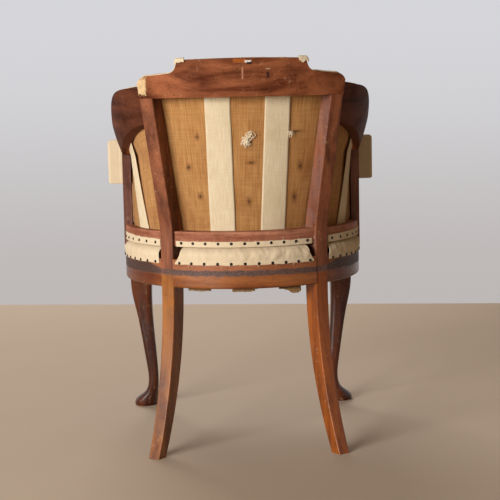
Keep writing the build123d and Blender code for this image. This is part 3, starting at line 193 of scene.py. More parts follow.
# Rear posts: each stile and sabre leg is sawn from one plank of stained hardwood.
# The leg below the seat is polished, a dark line of old glue crosses it at the seat rail, and the
# stile above is bare where covers were tacked on.
def start_group(name, takes, gives):
    """A shader node group with named sockets: gives the group and its input and output nodes."""
    group = bpy.data.node_groups.new(name, "ShaderNodeTree")
    for label, kind in takes:
        group.interface.new_socket(label, in_out="INPUT", socket_type="NodeSocket" + kind)
    for label in gives:
        group.interface.new_socket(label, in_out="OUTPUT", socket_type="NodeSocketFloat")
    return group, group.nodes.new("NodeGroupInput").outputs, group.nodes.new("NodeGroupOutput").inputs


def use(tree, group, inputs):
    """Places a node group in a material and gives its outputs."""
    return put(tree, "ShaderNodeGroup", inputs, node_tree=group).outputs


def times(tree, first, second):
    """Two values multiplied."""
    return reckon(tree, "MULTIPLY", first, second)


def flipped(tree, mask):
    """A mask turned round, so that 0 becomes 1."""
    return reckon(tree, "SUBTRACT", 1.0, mask)


def scaled(tree, value, factor, start):
    """A value times a factor, added to a start."""
    inputs = {0: value, 1: factor, 2: start}
    return put(tree, "ShaderNodeMath", inputs, operation="MULTIPLY_ADD").outputs[0]


def stretched(tree, place, scale):
    """The place with each direction scaled by itself."""
    return put(tree, "ShaderNodeMapping", {"Vector": place, "Scale": scale}).outputs["Vector"]


def from_mark(tree, place, x, z, wide, tall):
    """How far a place lies from a mark at an x and a height, counted in the mark's half sizes."""
    spot = (x, 0.0, z)
    offset = put(tree, "ShaderNodeVectorMath", {0: place, 1: spot}, operation="SUBTRACT").outputs[0]
    return stretched(tree, offset, (1 / wide, 0.0, 1 / tall))


timber_grain, taken, given = start_group(
    "timber_grain", [("Along", "Vector")], ["Tone", "Pores", "Relief"]
)
figure = speckle(timber_grain, stretched(timber_grain, taken["Along"], (2.6, 30, 30)), 1.0, 3.0, 0.55, 0.6)
fibres = speckle(timber_grain, stretched(timber_grain, taken["Along"], (11, 210, 210)), 1.0, 4.0, 0.65)
pores = speckle(timber_grain, stretched(timber_grain, taken["Along"], (45, 1300, 1300)), 1.0, 1.0)
tone = scaled(timber_grain, fibres, 0.6, -0.3)
broad = rise(timber_grain, figure, 0.28, 0.72)
timber_grain.links.new(reckon(timber_grain, "ADD", broad, tone, clamp=True), given["Tone"])
open_pores = rise(timber_grain, pores, 0.58, 0.7)
timber_grain.links.new(open_pores, given["Pores"])
timber_grain.links.new(reckon(timber_grain, "SUBTRACT", fibres, open_pores), given["Relief"])

knocks, taken, given = start_group(
    "knocks_and_grime", [("Place", "Vector")], ["Scuff", "Grime", "Holes"]
)
patches = rise(knocks, speckle(knocks, taken["Place"], 11.0), 0.46, 0.66)
chips = rise(knocks, speckle(knocks, taken["Place"], 95.0, 6.0, 0.75), 0.56, 0.68)
knocks.links.new(times(knocks, patches, chips), given["Scuff"])
knocks.links.new(rise(knocks, speckle(knocks, taken["Place"], 17.0, 6.0, 0.7), 0.45, 0.75), given["Grime"])
driven = stretched(knocks, taken["Place"], (1.0, 0.15, 1.0))
cells = put(knocks, "ShaderNodeTexVoronoi", {"Vector": driven, "Scale": 105.0})
holes = reckon(knocks, "LESS_THAN", cells.outputs["Distance"], 0.12)
chosen = put(knocks, "ShaderNodeSeparateColor", {0: cells.outputs["Color"]}).outputs[0]
chosen = reckon(knocks, "GREATER_THAN", chosen, 0.74)
knocks.links.new(times(knocks, holes, chosen), given["Holes"])


def along_upright(tree, place):
    """The place with the grain running up the piece."""
    part = axes(tree, place)
    return put(tree, "ShaderNodeCombineXYZ", {0: part[2], 1: part[0], 2: part[1]}).outputs[0]


def height_on(tree, place, waver):
    """The height on the piece, made uneven by a waver in metres."""
    height = axes(tree, place)[2]
    uneven = reckon(tree, "SUBTRACT", speckle(tree, place, 60.0, 5.0, 0.7), 0.5)
    return reckon(tree, "ADD", height, times(tree, uneven, waver))


GLUE_BOTTOM = 0.371
GLUE_TOP = 0.382
GLUE_WAVER = 0.012
SIDES_FROM = 0.165
SIDES_FULL = 0.200
SAWN_SLOPE = 0.274
SAWN_OUTER = 0.0870
SAWN_INNER = 0.0790


def old_timber(
    name,
    along,
    bare,
    polished=None,
    glue=0.0,
    side_glue=0.0,
    wear=0.5,
    holes=0.8,
    spots=(),
    sawn=None,
    painted_sheen=None,
):
    """Stained wood in bare colours, from dark to light. Polished gives the colours below the seat, where
    a line of old glue ends them, which reaches higher by side_glue on the chair's sides. Spots are marks
    at an x and a height, with half sizes and a colour. Sawn is the colour of the inner part of edges that
    face down, and the rest of those faces is painted in the lightest bare colour as painted light against
    their shade. The last argument is the colour of a painted sheen on faces that look across the back."""
    finish, tree, shader, place = new_finish(name)
    grain = use(tree, timber_grain, {"Along": along(tree, place)})
    marks = use(tree, knocks, {"Place": place})
    colour = tint(tree, grain["Tone"], bare[0], bare[1])
    roughness = scaled(tree, marks["Grime"], 0.2, 0.54)
    # On faces that look down, the inner strip is sawn timber colour and the rest is painted in the lightest
    # bare colour, painted light against the shade under the edge.
    if sawn:
        facing = axes(tree, put(tree, "ShaderNodeTexCoord").outputs["Normal"])[2]
        spread = axes(tree, along(tree, place))
        inner = reckon(tree, "SUBTRACT", spread[1], times(tree, spread[2], SAWN_SLOPE))
        edge = tint(tree, rise(tree, inner, SAWN_OUTER, SAWN_INNER), bare[1], sawn)
        colour = tint(tree, rise(tree, facing, -0.2, -0.5), colour, edge)
    # Painted sheen: on faces that look across the back, a pale greyish film in patches stands in for the
    # polish's reflection.
    if painted_sheen:
        facing = axes(tree, put(tree, "ShaderNodeTexCoord").outputs["Normal"])[0]
        facing = times(tree, facing, reckon(tree, "SIGN", axes(tree, place)[0]))
        sheen_patch = rise(tree, speckle(tree, place, 30.0, 5.0, 0.6), 0.3, 0.6)
        sheen_patch = times(tree, sheen_patch, rise(tree, facing, -0.3, -0.6))
        colour = tint(tree, times(tree, sheen_patch, 0.75), colour, painted_sheen)
    if polished:
        height = height_on(tree, place, GLUE_WAVER)
        raw = rise(tree, height, GLUE_BOTTOM - 0.002, GLUE_BOTTOM + 0.002)
        across = reckon(tree, "ABSOLUTE", axes(tree, place)[0])
        sides = times(tree, rise(tree, across, SIDES_FROM, SIDES_FULL), 1.0 if side_glue else 0.0)
        polish = tint(tree, grain["Tone"], polished[0], polished[1])
        polish = tint(tree, times(tree, sides, 0.7), polish, paint(86, 35, 10))
        colour = tint(tree, raw, polish, colour)
        shine_roughness = scaled(tree, marks["Grime"], 0.16, 0.24)
        roughness = put(tree, "ShaderNodeMix", {0: raw, 2: shine_roughness, 3: roughness}).outputs[0]
        tree.links.new(times(tree, flipped(tree, raw), 0.2), shader.inputs["Coat Weight"])
        shader.inputs["Coat Roughness"].default_value = 0.28
    colour = tint(tree, times(tree, marks["Grime"], 0.42), colour, paint(52, 30, 22), "MULTIPLY")
    colour = tint(tree, times(tree, grain["Pores"], 0.45), colour, paint(46, 25, 16))
    scuff = times(tree, marks["Scuff"], wear)
    colour = tint(tree, scuff, colour, paint(196, 158, 126))
    if glue:
        lowered = reckon(tree, "SUBTRACT", height, times(tree, sides, side_glue))
        below = flipped(tree, rise(tree, lowered, GLUE_TOP - 0.001, GLUE_TOP + 0.002))
        line = times(tree, raw, below)
        crumbs = rise(tree, speckle(tree, place, 420.0, 3.0, 0.7), 0.3, 0.62)
        line_colour = tint(tree, crumbs, paint(44, 32, 30), paint(96, 77, 72))
        line_colour = tint(tree, times(tree, sides, 0.6), line_colour, paint(44, 30, 24))
        colour = tint(tree, times(tree, line, glue), colour, line_colour)
    pits = times(tree, marks["Holes"], holes)
    if polished:
        pits = times(tree, pits, raw)
    colour = tint(tree, pits, colour, paint(22, 13, 9))
    for x, z, wide, tall, mark in spots:
        offset = axes(tree, from_mark(tree, place, x, z, wide, tall))
        beside = reckon(tree, "ABSOLUTE", offset[0])
        away = reckon(tree, "MAXIMUM", beside, reckon(tree, "ABSOLUTE", offset[2]))
        torn = speckle(tree, place, 260.0, 5.0, 0.7)
        away = reckon(tree, "ADD", away, times(tree, torn, 1.8))
        mark = tint(tree, rise(tree, torn, 0.35, 0.65), tuple(0.62 * part for part in mark), mark)
        colour = tint(tree, flipped(tree, rise(tree, away, 1.75, 1.95)), colour, mark)
    tree.links.new(colour, shader.inputs["Base Color"])
    tree.links.new(roughness, shader.inputs["Roughness"])
    shader.inputs["Specular IOR Level"].default_value = 0.26 if polished else 0.07
    relief = reckon(tree, "SUBTRACT", times(tree, grain["Relief"], 0.35), pits)
    roughen(tree, shader, reckon(tree, "ADD", relief, scuff), 0.0004)
    return finish


def wear_finish(finish, *nodes):
    """Gives nodes of the frame a finish."""
    for node in nodes:
        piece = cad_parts[node]
        piece.data.materials.clear()
        piece.data.materials.append(finish)


# The right post's polished colours are darker than the left's, a painted shade for light that falls off
# towards the chair's right, and its inner faces get a painted sheen.
for word, dark, light, sheen_patch in (
    ("left", paint(104, 54, 15), paint(164, 103, 47), None),
    ("right", paint(98, 44, 8), paint(150, 80, 26), paint(120, 88, 80)),
):
    post_finish = old_timber(
        "rear_post_timber_" + word,
        along_upright,
        bare=(paint(80, 41, 27), paint(150, 90, 60)),
        polished=(dark, light),
        glue=0.8,
        wear=0.6,
        painted_sheen=sheen_patch,
    )
    wear_finish(post_finish, "rear_post_" + word)


# Front legs: carved cabrioles with a square block at the seat, of the same wood but stained darker.
# They are polished up to the glue line that runs round the seat, and the block above it is bare.
leg_finish = old_timber(
    "front_leg_timber",
    along_upright,
    bare=(paint(86, 45, 28), paint(150, 92, 60)),
    polished=(paint(54, 23, 10), paint(98, 49, 22)),
    glue=0.8,
    wear=0.5,
)
wear_finish(leg_finish, "front_leg_left", "front_leg_right")


# Seat rails: hardwood sawn to the round of the tub and dowelled to the posts and legs. The lower
# half is a polished show edge, a dark glue line runs above it, and the top is bare for tacking.
TUB_Y = -0.033510
TUB_RADIUS = 0.256


def along_round(tree, place):
    """The place with the grain following the round of the tub."""
    part = axes(tree, place)
    depth = reckon(tree, "SUBTRACT", part[1], TUB_Y)
    bearing = reckon(tree, "ARCTAN2", part[0], depth)
    flat = put(tree, "ShaderNodeCombineXYZ", {0: part[0], 1: depth}).outputs[0]
    run = times(tree, bearing, 0.25)
    return put(tree, "ShaderNodeCombineXYZ", {0: run, 1: length_of(tree, flat), 2: part[2]}).outputs[0]


rail_finish = old_timber(
    "seat_rail_timber",
    along_round,
    bare=(paint(98, 52, 31), paint(156, 98, 66)),
    polished=(paint(97, 46, 18), paint(154, 94, 52)),
    glue=0.94,
    wear=0.4,
    side_glue=0.0105,
)
wear_finish(rail_finish, "back_seat_rail", "side_seat_rail_left", "side_seat_rail_right", "front_seat_rail")


# Corner blocks, dowels, arm posts and arm rails: plain pale beech that covers always hide,
# glued, dowelled and screwed together, never stained.
beech_finish = old_timber(
    "raw_beech",
    along_upright,
    bare=(paint(158, 112, 76), paint(206, 166, 124)),
    wear=0.25,
    holes=0.3,
)
wear_finish(beech_finish, "corner_blocks", "seat_frame_dowels", "back_frame_dowels", "arm_frame_dowels")
wear_finish(beech_finish, "arm_post_left", "arm_post_right", "arm_rail_left", "arm_rail_right")
wear_finish(beech_finish, "arm_lower_rail_left", "arm_lower_rail_right")


# Tacking rails and wing posts: stained rails that stand above the seat gap, dowelled between the
# posts, with the upholstery's edges tacked along their lower faces.
tacking_finish = old_timber(
    "tacking_rail_timber",
    along_round,
    bare=(paint(131, 77, 59), paint(199, 141, 113)),
    wear=0.5,
)
wear_finish(tacking_finish, "back_lower_rail", "side_lower_rail_left", "side_lower_rail_right")
upright_finish = old_timber(
    "wing_post_timber",
    along_upright,
    bare=(paint(94, 62, 54), paint(150, 112, 100)),
    wear=0.5,
)
wear_finish(upright_finish, "wing_post_left", "wing_post_right")


# Crest rail and wings: boards bent round the top of the tub. Their dark red stain has worn
# through, and rows of old tack holes from earlier covers pit them all over.
def along_crest(tree, place):
    """The place as it is, so that the grain runs from side to side."""
    return place


crest_finish = old_timber(
    "crest_timber",
    along_crest,
    bare=(paint(84, 42, 26), paint(152, 92, 62)),
    wear=0.5,
    holes=0.95,
    spots=[
        (0.1995, 0.7545, 0.0110, 0.0170, paint(216, 184, 140)),
        (0.004, 0.800, 0.014, 0.004, paint(158, 88, 44)),
        (-0.0114, 0.7985, 0.0065, 0.0026, paint(222, 214, 206)),
        (-0.0150, 0.7955, 0.0050, 0.0022, paint(50, 34, 34)),
        (-0.0010, 0.7760, 0.0017, 0.0140, paint(176, 124, 98)),
        (-0.0505, 0.7840, 0.0045, 0.0012, paint(168, 146, 116)),
        (-0.0505, 0.7720, 0.0035, 0.0060, paint(70, 44, 38)),
    ],
)
wear_finish(crest_finish, "crest_rail")
# The wings' down-facing edges are partly sawn colour and partly painted lighter, painted light against
# their shade.
wing_finish = old_timber(
    "wing_timber",
    along_round,
    bare=(paint(50, 25, 17), paint(96, 56, 40)),
    wear=0.22,
    holes=0.9,
    sawn=paint(174, 102, 54),
)
wear_finish(wing_finish, "wing_left", "wing_right")


# Block screws, tacks and springs: blued tacks gone black with rust, steel screws and coppered
# spring wire. The tacks are hammered through the cut edges of the calico into the rails.
def iron(name, bright, rust, roughness, spots):
    """Plain metal with rust in spots."""
    finish, tree, shader, place = new_finish(name)
    rusty = rise(tree, speckle(tree, place, 260.0, 5.0, 0.7), spots - 0.12, spots + 0.12)
    tree.links.new(tint(tree, rusty, bright, rust), shader.inputs["Base Color"])
    tree.links.new(flipped(tree, times(tree, rusty, 0.8)), shader.inputs["Metallic"])
    tree.links.new(scaled(tree, rusty, 0.35, roughness), shader.inputs["Roughness"])
    roughen(tree, shader, speckle(tree, place, 900.0), 0.0002)
    return finish


tack_iron = iron("tack_iron", paint(44, 40, 40), paint(34, 24, 20), 0.42, 0.52)
wear_finish(tack_iron, "seat_tacks", "lower_tacks")
wear_finish(iron("screw_steel", paint(150, 146, 140), paint(86, 60, 44), 0.35, 0.62), "block_screws")
wear_finish(iron("spring_wire", paint(148, 112, 84), paint(92, 62, 46), 0.36, 0.55), "seat_springs")


# Seat webbing: six straps of brown jute, woven over and under each other and tacked flat below the
# seat rails.
SLUB_DRAW = 0.04
weave, taken, given = start_group(
    "plain_weave", [("Threads", "Vector"), ("Pitch", "Float")], ["Height", "Gaps", "Slubs"]
)
part = axes(weave, taken["Threads"])
warp = reckon(weave, "DIVIDE", part[0], taken["Pitch"])
weft = reckon(weave, "DIVIDE", part[1], taken["Pitch"])
warp_round = reckon(weave, "ABSOLUTE", reckon(weave, "SINE", times(weave, warp, math.pi)))
weft_round = reckon(weave, "ABSOLUTE", reckon(weave, "SINE", times(weave, weft, math.pi)))
cell = reckon(weave, "ADD", reckon(weave, "FLOOR", warp), reckon(weave, "FLOOR", weft))
odd = reckon(weave, "ABSOLUTE", reckon(weave, "MODULO", cell, 2.0))
over = reckon(weave, "GREATER_THAN", odd, 0.5)
height = put(weave, "ShaderNodeMix", {0: over, 2: warp_round, 3: weft_round}).outputs[0]
weave.links.new(height, given["Height"])
filled = reckon(weave, "MAXIMUM", warp_round, weft_round)
weave.links.new(flipped(weave, rise(weave, filled, 0.25, 0.8)), given["Gaps"])
lengthwise = put(weave, "ShaderNodeCombineXYZ", {0: warp, 1: times(weave, weft, SLUB_DRAW)}).outputs[0]
crosswise = put(weave, "ShaderNodeCombineXYZ", {0: times(weave, warp, SLUB_DRAW), 1: weft}).outputs[0]
uneven_weft = times(weave, speckle(weave, crosswise, 0.8, 2.0), 0.45)
thick = reckon(weave, "ADD", speckle(weave, lengthwise, 0.8, 2.0), uneven_weft)
weave.links.new(rise(weave, thick, 0.42, 1.05), given["Slubs"])


def soft_surface(shader, roughness):
    """Sets the dull, slightly downy surface of old cotton and jute."""
    shader.inputs["Roughness"].default_value = roughness
    shader.inputs["Specular IOR Level"].default_value = 0.12
    shader.inputs["Sheen Weight"].default_value = 0.1
    shader.inputs["Sheen Roughness"].default_value = 0.6


def tie_marks(tree, place, colour, ties):
    """A colour with a dark hole and a stained rim at each tie, given as x and height with half sizes."""
    frayed = times(tree, speckle(tree, place, 150.0, 4.0, 0.75), 3.0)
    for x, z, wide, tall in ties:
        away = length_of(tree, from_mark(tree, place, x, z, wide, tall))
        away = reckon(tree, "ADD", away, frayed)
        rim = times(tree, rise(tree, away, 6.2, 2.2), 0.6)
        colour = tint(tree, rim, colour, paint(112, 62, 26))
        hole = times(tree, rise(tree, away, 3.1, 1.7), 0.8)
        colour = tint(tree, hole, colour, paint(50, 27, 14))
    return colour


def woven(name, dark, light, pitch, gap, stain, depth, ties=()):
    """Cloth of round threads that go over and under each other, from dark to light threads. The gaps
    between threads and the stains are each given as a colour and its strength."""
    finish, tree, shader, place = new_finish(name)
    threads = put(tree, "ShaderNodeUVMap", uv_map="threads").outputs[0]
    cloth = use(tree, weave, {"Threads": threads, "Pitch": pitch})
    colour = tint(tree, cloth["Slubs"], dark, light)
    cloud = rise(tree, speckle(tree, place, 13.0, 5.0, 0.65), 0.42, 0.75)
    colour = tint(tree, times(tree, cloud, stain[1]), colour, stain[0])
    if ties:
        colour = tie_marks(tree, place, colour, ties)
    colour = tint(tree, times(tree, cloth["Gaps"], gap[1]), colour, gap[0])
    tree.links.new(colour, shader.inputs["Base Color"])
    soft_surface(shader, 0.85)
    roughen(tree, shader, cloth["Height"], depth)
    return finish


def add_piece(name, mesh, finish):
    """Makes a finished mesh a smooth-shaded piece that belongs to the chair."""
    data = bpy.data.meshes.new(name)
    mesh.to_mesh(data)
    mesh.free()
    data.materials.append(finish)
    data.polygons.foreach_set("use_smooth", [True] * len(data.polygons))
    piece = bpy.data.objects.new(name, data)
    scene.collection.objects.link(piece)
    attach(piece, "root")
    return piece


def cloth_grid(size, cells, place, keep):
    """A flat cut of cloth as a grid with its threads as UV in metres, each point moved to its place."""
    mesh = bmesh.new()
    bmesh.ops.create_grid(mesh, x_segments=cells[0], y_segments=cells[1], size=0.5)
    threads = mesh.loops.layers.uv.new("threads")
    if keep:
        cut = [f for f in mesh.faces if not keep(*(f.calc_center_median().xy + Vector((0.5, 0.5))))]
        bmesh.ops.delete(mesh, geom=cut, context="FACES")
    for face in mesh.faces:
        for corner in face.loops:
            spot = corner.vert.co
            corner[threads].uv = ((spot.x + 0.5) * size[0], (spot.y + 0.5) * size[1])
    for point in mesh.verts:
        point.co = Vector(place(point.co.x + 0.5, point.co.y + 0.5))
    return mesh


def lay_cloth(name, size, cells, place, finish, thickness, rounds=0, keep=None):
    """A cut of cloth laid in its place on the chair, thickened by half to each side, with rounded folds
    and only the faces that keep finds."""
    piece = add_piece(name, cloth_grid(size, cells, place, keep), finish)
    if rounds:
        smooth = piece.modifiers.new("soft_folds", "SUBSURF")
        smooth.levels = rounds
        smooth.render_levels = rounds
        smooth.boundary_smooth = "PRESERVE_CORNERS"
    wall = piece.modifiers.new("cloth_thickness", "SOLIDIFY")
    wall.thickness = thickness
    wall.offset = 0.0
    wall.use_even_offset = True
    return piece


def ripple(x, y, z):
    """Smooth noise from about -1 to 1 at a point."""
    return noise.noise(Vector((x, y, z)))


jute = woven(
    "jute_webbing",
    paint(128, 92, 56),
    paint(180, 140, 94),
    pitch=0.0024,
    gap=(paint(70, 46, 26), 0.6),
    stain=(paint(96, 68, 42), 0.4),
    depth=0.0008,
)
STRAP_WIDTH = 0.050
STRAP_THICKNESS = 0.0014
STRAP_Z = 0.34425
STRAP_DIP = 0.0017
STRAP_CLEAR = 0.001
STRAP_SLOPE = 0.011
STRAP_FRONT = -0.236
STRAP_REACH = 0.246
STRAP_ROWS = (-0.12825, -0.03325, 0.06175)
STRAP_COLUMNS = (-0.095, 0.0, 0.095)


def strap_height(spot, crossings, first_dips):
    """Height of a seat strap, which dips under every second strap that it crosses."""
    dip = 0.0
    for i, crossing in enumerate(crossings):
        if (i % 2 == 0) == first_dips:
            away = abs(spot - crossing) - STRAP_WIDTH / 2 - STRAP_CLEAR
            dip = max(dip, min(max(1.0 - away / STRAP_SLOPE, 0.0), 1.0))
    return STRAP_Z - STRAP_DIP * dip * dip * (3 - 2 * dip)


def seat_strap(name, start, end, middle, crossings, first_dips, lengthwise):
    """One seat strap from rail to rail, along Y if lengthwise and else along X."""
    length = end - start

    def place(u, v):
        run = start + v * length
        side = middle + (u - 0.5) * STRAP_WIDTH
        z = strap_height(run, crossings, first_dips)
        z += 0.0004 * ripple(side * 60, run * 60, 2.0)
        return (side, TUB_Y + run, z) if lengthwise else (run, TUB_Y + side, z)

    size = (STRAP_WIDTH, length)
    strap = lay_cloth(name, size, (10, 60), place, jute, STRAP_THICKNESS)
    return strap


for i, middle in enumerate(STRAP_COLUMNS):
    end = math.sqrt(STRAP_REACH**2 - (abs(middle) + STRAP_WIDTH / 2) ** 2)
    strap = seat_strap(f"seat_strap_long_{i + 1}", STRAP_FRONT, end, middle, STRAP_ROWS, i % 2 == 0, True)
    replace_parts(strap, "seat_webbing")
for i, middle in enumerate(STRAP_ROWS):
    reach = STRAP_REACH
    if middle + STRAP_WIDTH / 2 > 0:
        reach = math.sqrt(STRAP_REACH**2 - (middle + STRAP_WIDTH / 2) ** 2)
    seat_strap(f"seat_strap_cross_{i + 1}", -reach, reach, middle, STRAP_COLUMNS, i % 2 == 1, False)


# Seat hessian: coarse cloth stretched over the springs and tacked to the tops of the seat rails,
# cut round the rear posts. The same cloth lines the back, where nine ties left dark holes in it.
TIE_HOLES = (
    (0.0906, 0.6530, 0.0018, 0.0024), (-0.0145, 0.6400, 0.0020, 0.0022), (-0.1070, 0.6600, 0.0060, 0.0012),
    (0.1093, 0.5913, 0.0022, 0.0026), (-0.0162, 0.5990, 0.0036, 0.0014), (-0.1164, 0.5894, 0.0024, 0.0040),
    (0.0874, 0.5312, 0.0020, 0.0026), (-0.0109, 0.5200, 0.0020, 0.0034), (-0.1048, 0.5250, 0.0022, 0.0044),
)
hessian = woven(
    "hessian",
    paint(174, 116, 60),
    paint(214, 162, 102),
    pitch=0.0021,
    gap=(paint(108, 62, 24), 0.45),
    stain=(paint(148, 90, 40), 0.5),
    depth=0.0009,
    ties=TIE_HOLES,
)
POST_BEARING = math.radians(38.5)
POST_SINE = 0.5
POST_COSINE = math.cos(math.radians(30))
POST_DEPTH = 0.040
POST_HALF = 0.015
POST_ROOM = 0.002
POST_BEHIND = 0.03
SEAT_CLOTH = (0.47, 0.46)
SEAT_CLOTH_FRONT = -0.232
SEAT_CLOTH_BACK = 0.228
SEAT_CLOTH_REACH = 0.234
SEAT_CLOTH_Z = 0.40375


def post_point(out, across):
    """Plan point at the left rear post: out along its facing, across to its outer side."""
    x = TUB_RADIUS * math.sin(POST_BEARING) + out * POST_SINE + across * POST_COSINE
    y = TUB_RADIUS * math.cos(POST_BEARING) + out * POST_COSINE - across * POST_SINE
    return x, y


def in_post(x, y):
    """True where a plan point is inside a rear post or close to it."""
    left_x, left_y = post_point(0, 0)
    dx = abs(x) - left_x
    dy = y - left_y
    out = dx * POST_SINE + dy * POST_COSINE
    across = dx * POST_COSINE - dy * POST_SINE
    return -POST_DEPTH - POST_ROOM < out < POST_BEHIND and abs(across) < POST_HALF + POST_ROOM


def seat_spot(u, v):
    """Plan point on the seat cloth, half round behind and square in front."""
    y = SEAT_CLOTH_FRONT + v * (SEAT_CLOTH_BACK - SEAT_CLOTH_FRONT)
    half = SEAT_CLOTH_REACH if y < 0 else math.sqrt(SEAT_CLOTH_REACH**2 - y * y)
    return (2 * u - 1) * half, y


def seat_cloth_place(u, v):
    x, y = seat_spot(u, v)
    return x, TUB_Y + y, SEAT_CLOTH_Z


def seat_cloth_kept(u, v):
    return not in_post(*seat_spot(u, v))


seat_cloth = lay_cloth(
    "seat_hessian_cloth",
    SEAT_CLOTH,
    (90, 90),
    seat_cloth_place,
    hessian,
    thickness=0.0013,
    keep=seat_cloth_kept,
)
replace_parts(seat_cloth, "seat_hessian")


# Back straps: two upright webs of pale cotton, tacked to the crest rail above and to the tacking
# rail below, on the outside of the hessian.
STILE_LEAN = 0.062
LEAN_FOOT = 0.464
LEAN_RISE = 0.267
POST_TAPER = 0.006
BACK_DEPTH_BELOW = 0.217
BACK_DEPTH_ABOVE = 0.27504


def stile_lean(z):
    """How far the stiles have leaned out at height z."""
    return STILE_LEAN * max(z - LEAN_FOOT, 0.0) / LEAN_RISE


def back_round(z):
    """Y of the centre and the radius of the inside round of the back frame at height z."""
    share = min(stile_lean(z) / STILE_LEAN, 1.0)
    end = post_point(stile_lean(z) - POST_DEPTH + POST_TAPER * share, -POST_HALF)
    middle = BACK_DEPTH_BELOW + (BACK_DEPTH_ABOVE - BACK_DEPTH_BELOW) * share
    middle += max(stile_lean(z) - STILE_LEAN, 0.0) * POST_COSINE
    bow = middle - end[1]
    radius = (end[0] ** 2 + bow**2) / (2 * bow)
    return middle - radius, radius


def back_place(x, z, inset):
    """The point at x and z on the inside round of the back, moved in by the inset."""
    centre, radius = back_round(z)
    return x, TUB_Y + centre + math.sqrt((radius - inset) ** 2 - x * x), z


cotton = woven(
    "cotton_webbing",
    paint(232, 208, 168),
    paint(250, 236, 206),
    pitch=0.0011,
    gap=(paint(196, 166, 124), 0.25),
    stain=(paint(214, 190, 150), 0.35),
    depth=0.0005,
)
PANEL_FOOT = 0.4365
BACK_STRAP_HEAD = 0.7645
BACK_STRAP = (0.051, BACK_STRAP_HEAD - PANEL_FOOT)
BACK_STRAP_INSET = 0.00075


def back_strap(name, foot, head):
    """One upright back strap, whose centre is at X foot below and head above."""

    def place(u, v):
        z = PANEL_FOOT + v * BACK_STRAP[1]
        x = foot + (head - foot) * v + (u - 0.5) * BACK_STRAP[0]
        x += 0.0006 * ripple(u * 2, z * 22, foot * 90)
        curl = 0.0007 * ripple(x * 45, z * 18, foot * 40)
        return back_place(x, z, BACK_STRAP_INSET + curl)

    strap = lay_cloth(name, BACK_STRAP, (14, 80), place, cotton, STRAP_THICKNESS)
    return strap


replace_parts(back_strap("back_strap_left", 0.042, 0.050), "back_webbing")
back_strap("back_strap_right", -0.059, -0.073)


# Back hessian: one coarse panel inside the straps, from stile to stile and from the tacking rail
# to the crest rail, with slack vertical folds where the old stitches pulled it.
BACK_CLOTH = (0.360, 0.335)
BACK_CLOTH_INSET = 0.00245
STILE_LAP = 0.005
HESSIAN_THICKNESS = 0.0012


def back_half(z, inset, across):
    """X where the inside round of the back meets a line along a stile's face."""
    centre, radius = back_round(z)
    x, y = post_point(0, across)
    y -= centre
    along = x * POST_SINE + y * POST_COSINE
    out = -along + math.sqrt(along**2 - (x * x + y * y - (radius - inset) ** 2))
    return post_point(out, across)[0]


def back_cloth_place(u, v):
    z = PANEL_FOOT + v * (BACK_STRAP_HEAD - PANEL_FOOT)
    x = (2 * u - 1) * back_half(z, BACK_CLOTH_INSET, STILE_LAP)
    fold = 0.0008 * ripple(x * 55, z * 7, 4.0) + 0.0004 * ripple(x * 130, z * 30, 9.0)
    return back_place(x, z, BACK_CLOTH_INSET + fold)


back_cloth = lay_cloth(
    "back_hessian_cloth", BACK_CLOTH, (110, 84), back_cloth_place, hessian, HESSIAN_THICKNESS
)
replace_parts(back_cloth, "back_hessian")


# Quarter panels: a slanting cotton strap and a hessian panel on each side, tacked to the stile,
# the wing and the wing post.
SIDES = ((1, "left"), (-1, "right"))
WING_SPRING = 0.612
WING_HEIGHT = 0.141
WING_BULGE = 0.019
WING_FLARE = 0.025
WING_FRONT = 0.005
WING_SWEEP = 0.055
WING_RUN = 0.223
WING_SETBACK = 0.002
WING_EDGE = (
    (0, 0), (0.05, 0.18), (0.20, 0.38), (0.40, 0.57), (0.53, 0.75), (0.66, 0.89), (0.83, 0.97), (1.4, 1.0),
)
QUARTER_STRAP = (0.037, 0.245)
QUARTER_STRAP_INSET = 0.02125
QUARTER_STRAP_HEAD = 0.682
QUARTER_STRAP_SKEW = 0.017
QUARTER_STRAP_DEPTH = 0.1155
QUARTER_STRAP_SLANT = 0.016
QUARTER_CLOTH = (0.205, 0.275)
QUARTER_TOP = 0.7425
QUARTER_LAP = 0.009
QUARTER_INSET = 0.0208
QUARTER_DRAW = 0.00215


def wing_place(y_share, z, inset, side):
    """A point inside a wing, from its front edge at 0 to the stile at 1, moved in by the inset."""
    up = min(max(z - WING_SPRING, 0.0) / WING_HEIGHT, 1.05)
    flare = WING_BULGE * 4 * up * (1 - up) + WING_FLARE * up * (2 * up - 1)
    start_x = TUB_RADIUS + flare - inset
    start_y = WING_FRONT + WING_SWEEP * up
    end_x, end_y = post_point(stile_lean(z) - WING_SETBACK - inset, POST_HALF)
    dx = start_x - end_x
    dy = end_y - start_y
    radius = (dx * dx + dy * dy) / (2 * dx)
    turn = y_share * math.atan2(dy, radius - dx)
    x = start_x - radius * (1 - math.cos(turn))
    return side * x, TUB_Y + start_y + radius * math.sin(turn), z


def wing_edge_height(y):
    """Height of the wing's upper edge at a depth y of the tub."""
    along = (y - WING_FRONT) / WING_RUN
    for (a0, u0), (a1, u1) in zip(WING_EDGE, WING_EDGE[1:]):
        if along <= a1:
            return WING_SPRING + WING_HEIGHT * (u0 + (u1 - u0) * max(along - a0, 0.0) / (a1 - a0))
    return WING_SPRING + WING_HEIGHT


def on_panel(z, depth, side):
    """Point on the strap's side of a quarter panel at a height and a depth of the tub."""
    low, high = 0.0, 1.0
    for _ in range(18):
        share = (low + high) / 2
        if wing_place(share, z, QUARTER_STRAP_INSET, side)[1] - TUB_Y < depth:
            low = share
        else:
            high = share
    return Vector(wing_place(share, z, QUARTER_STRAP_INSET, side))


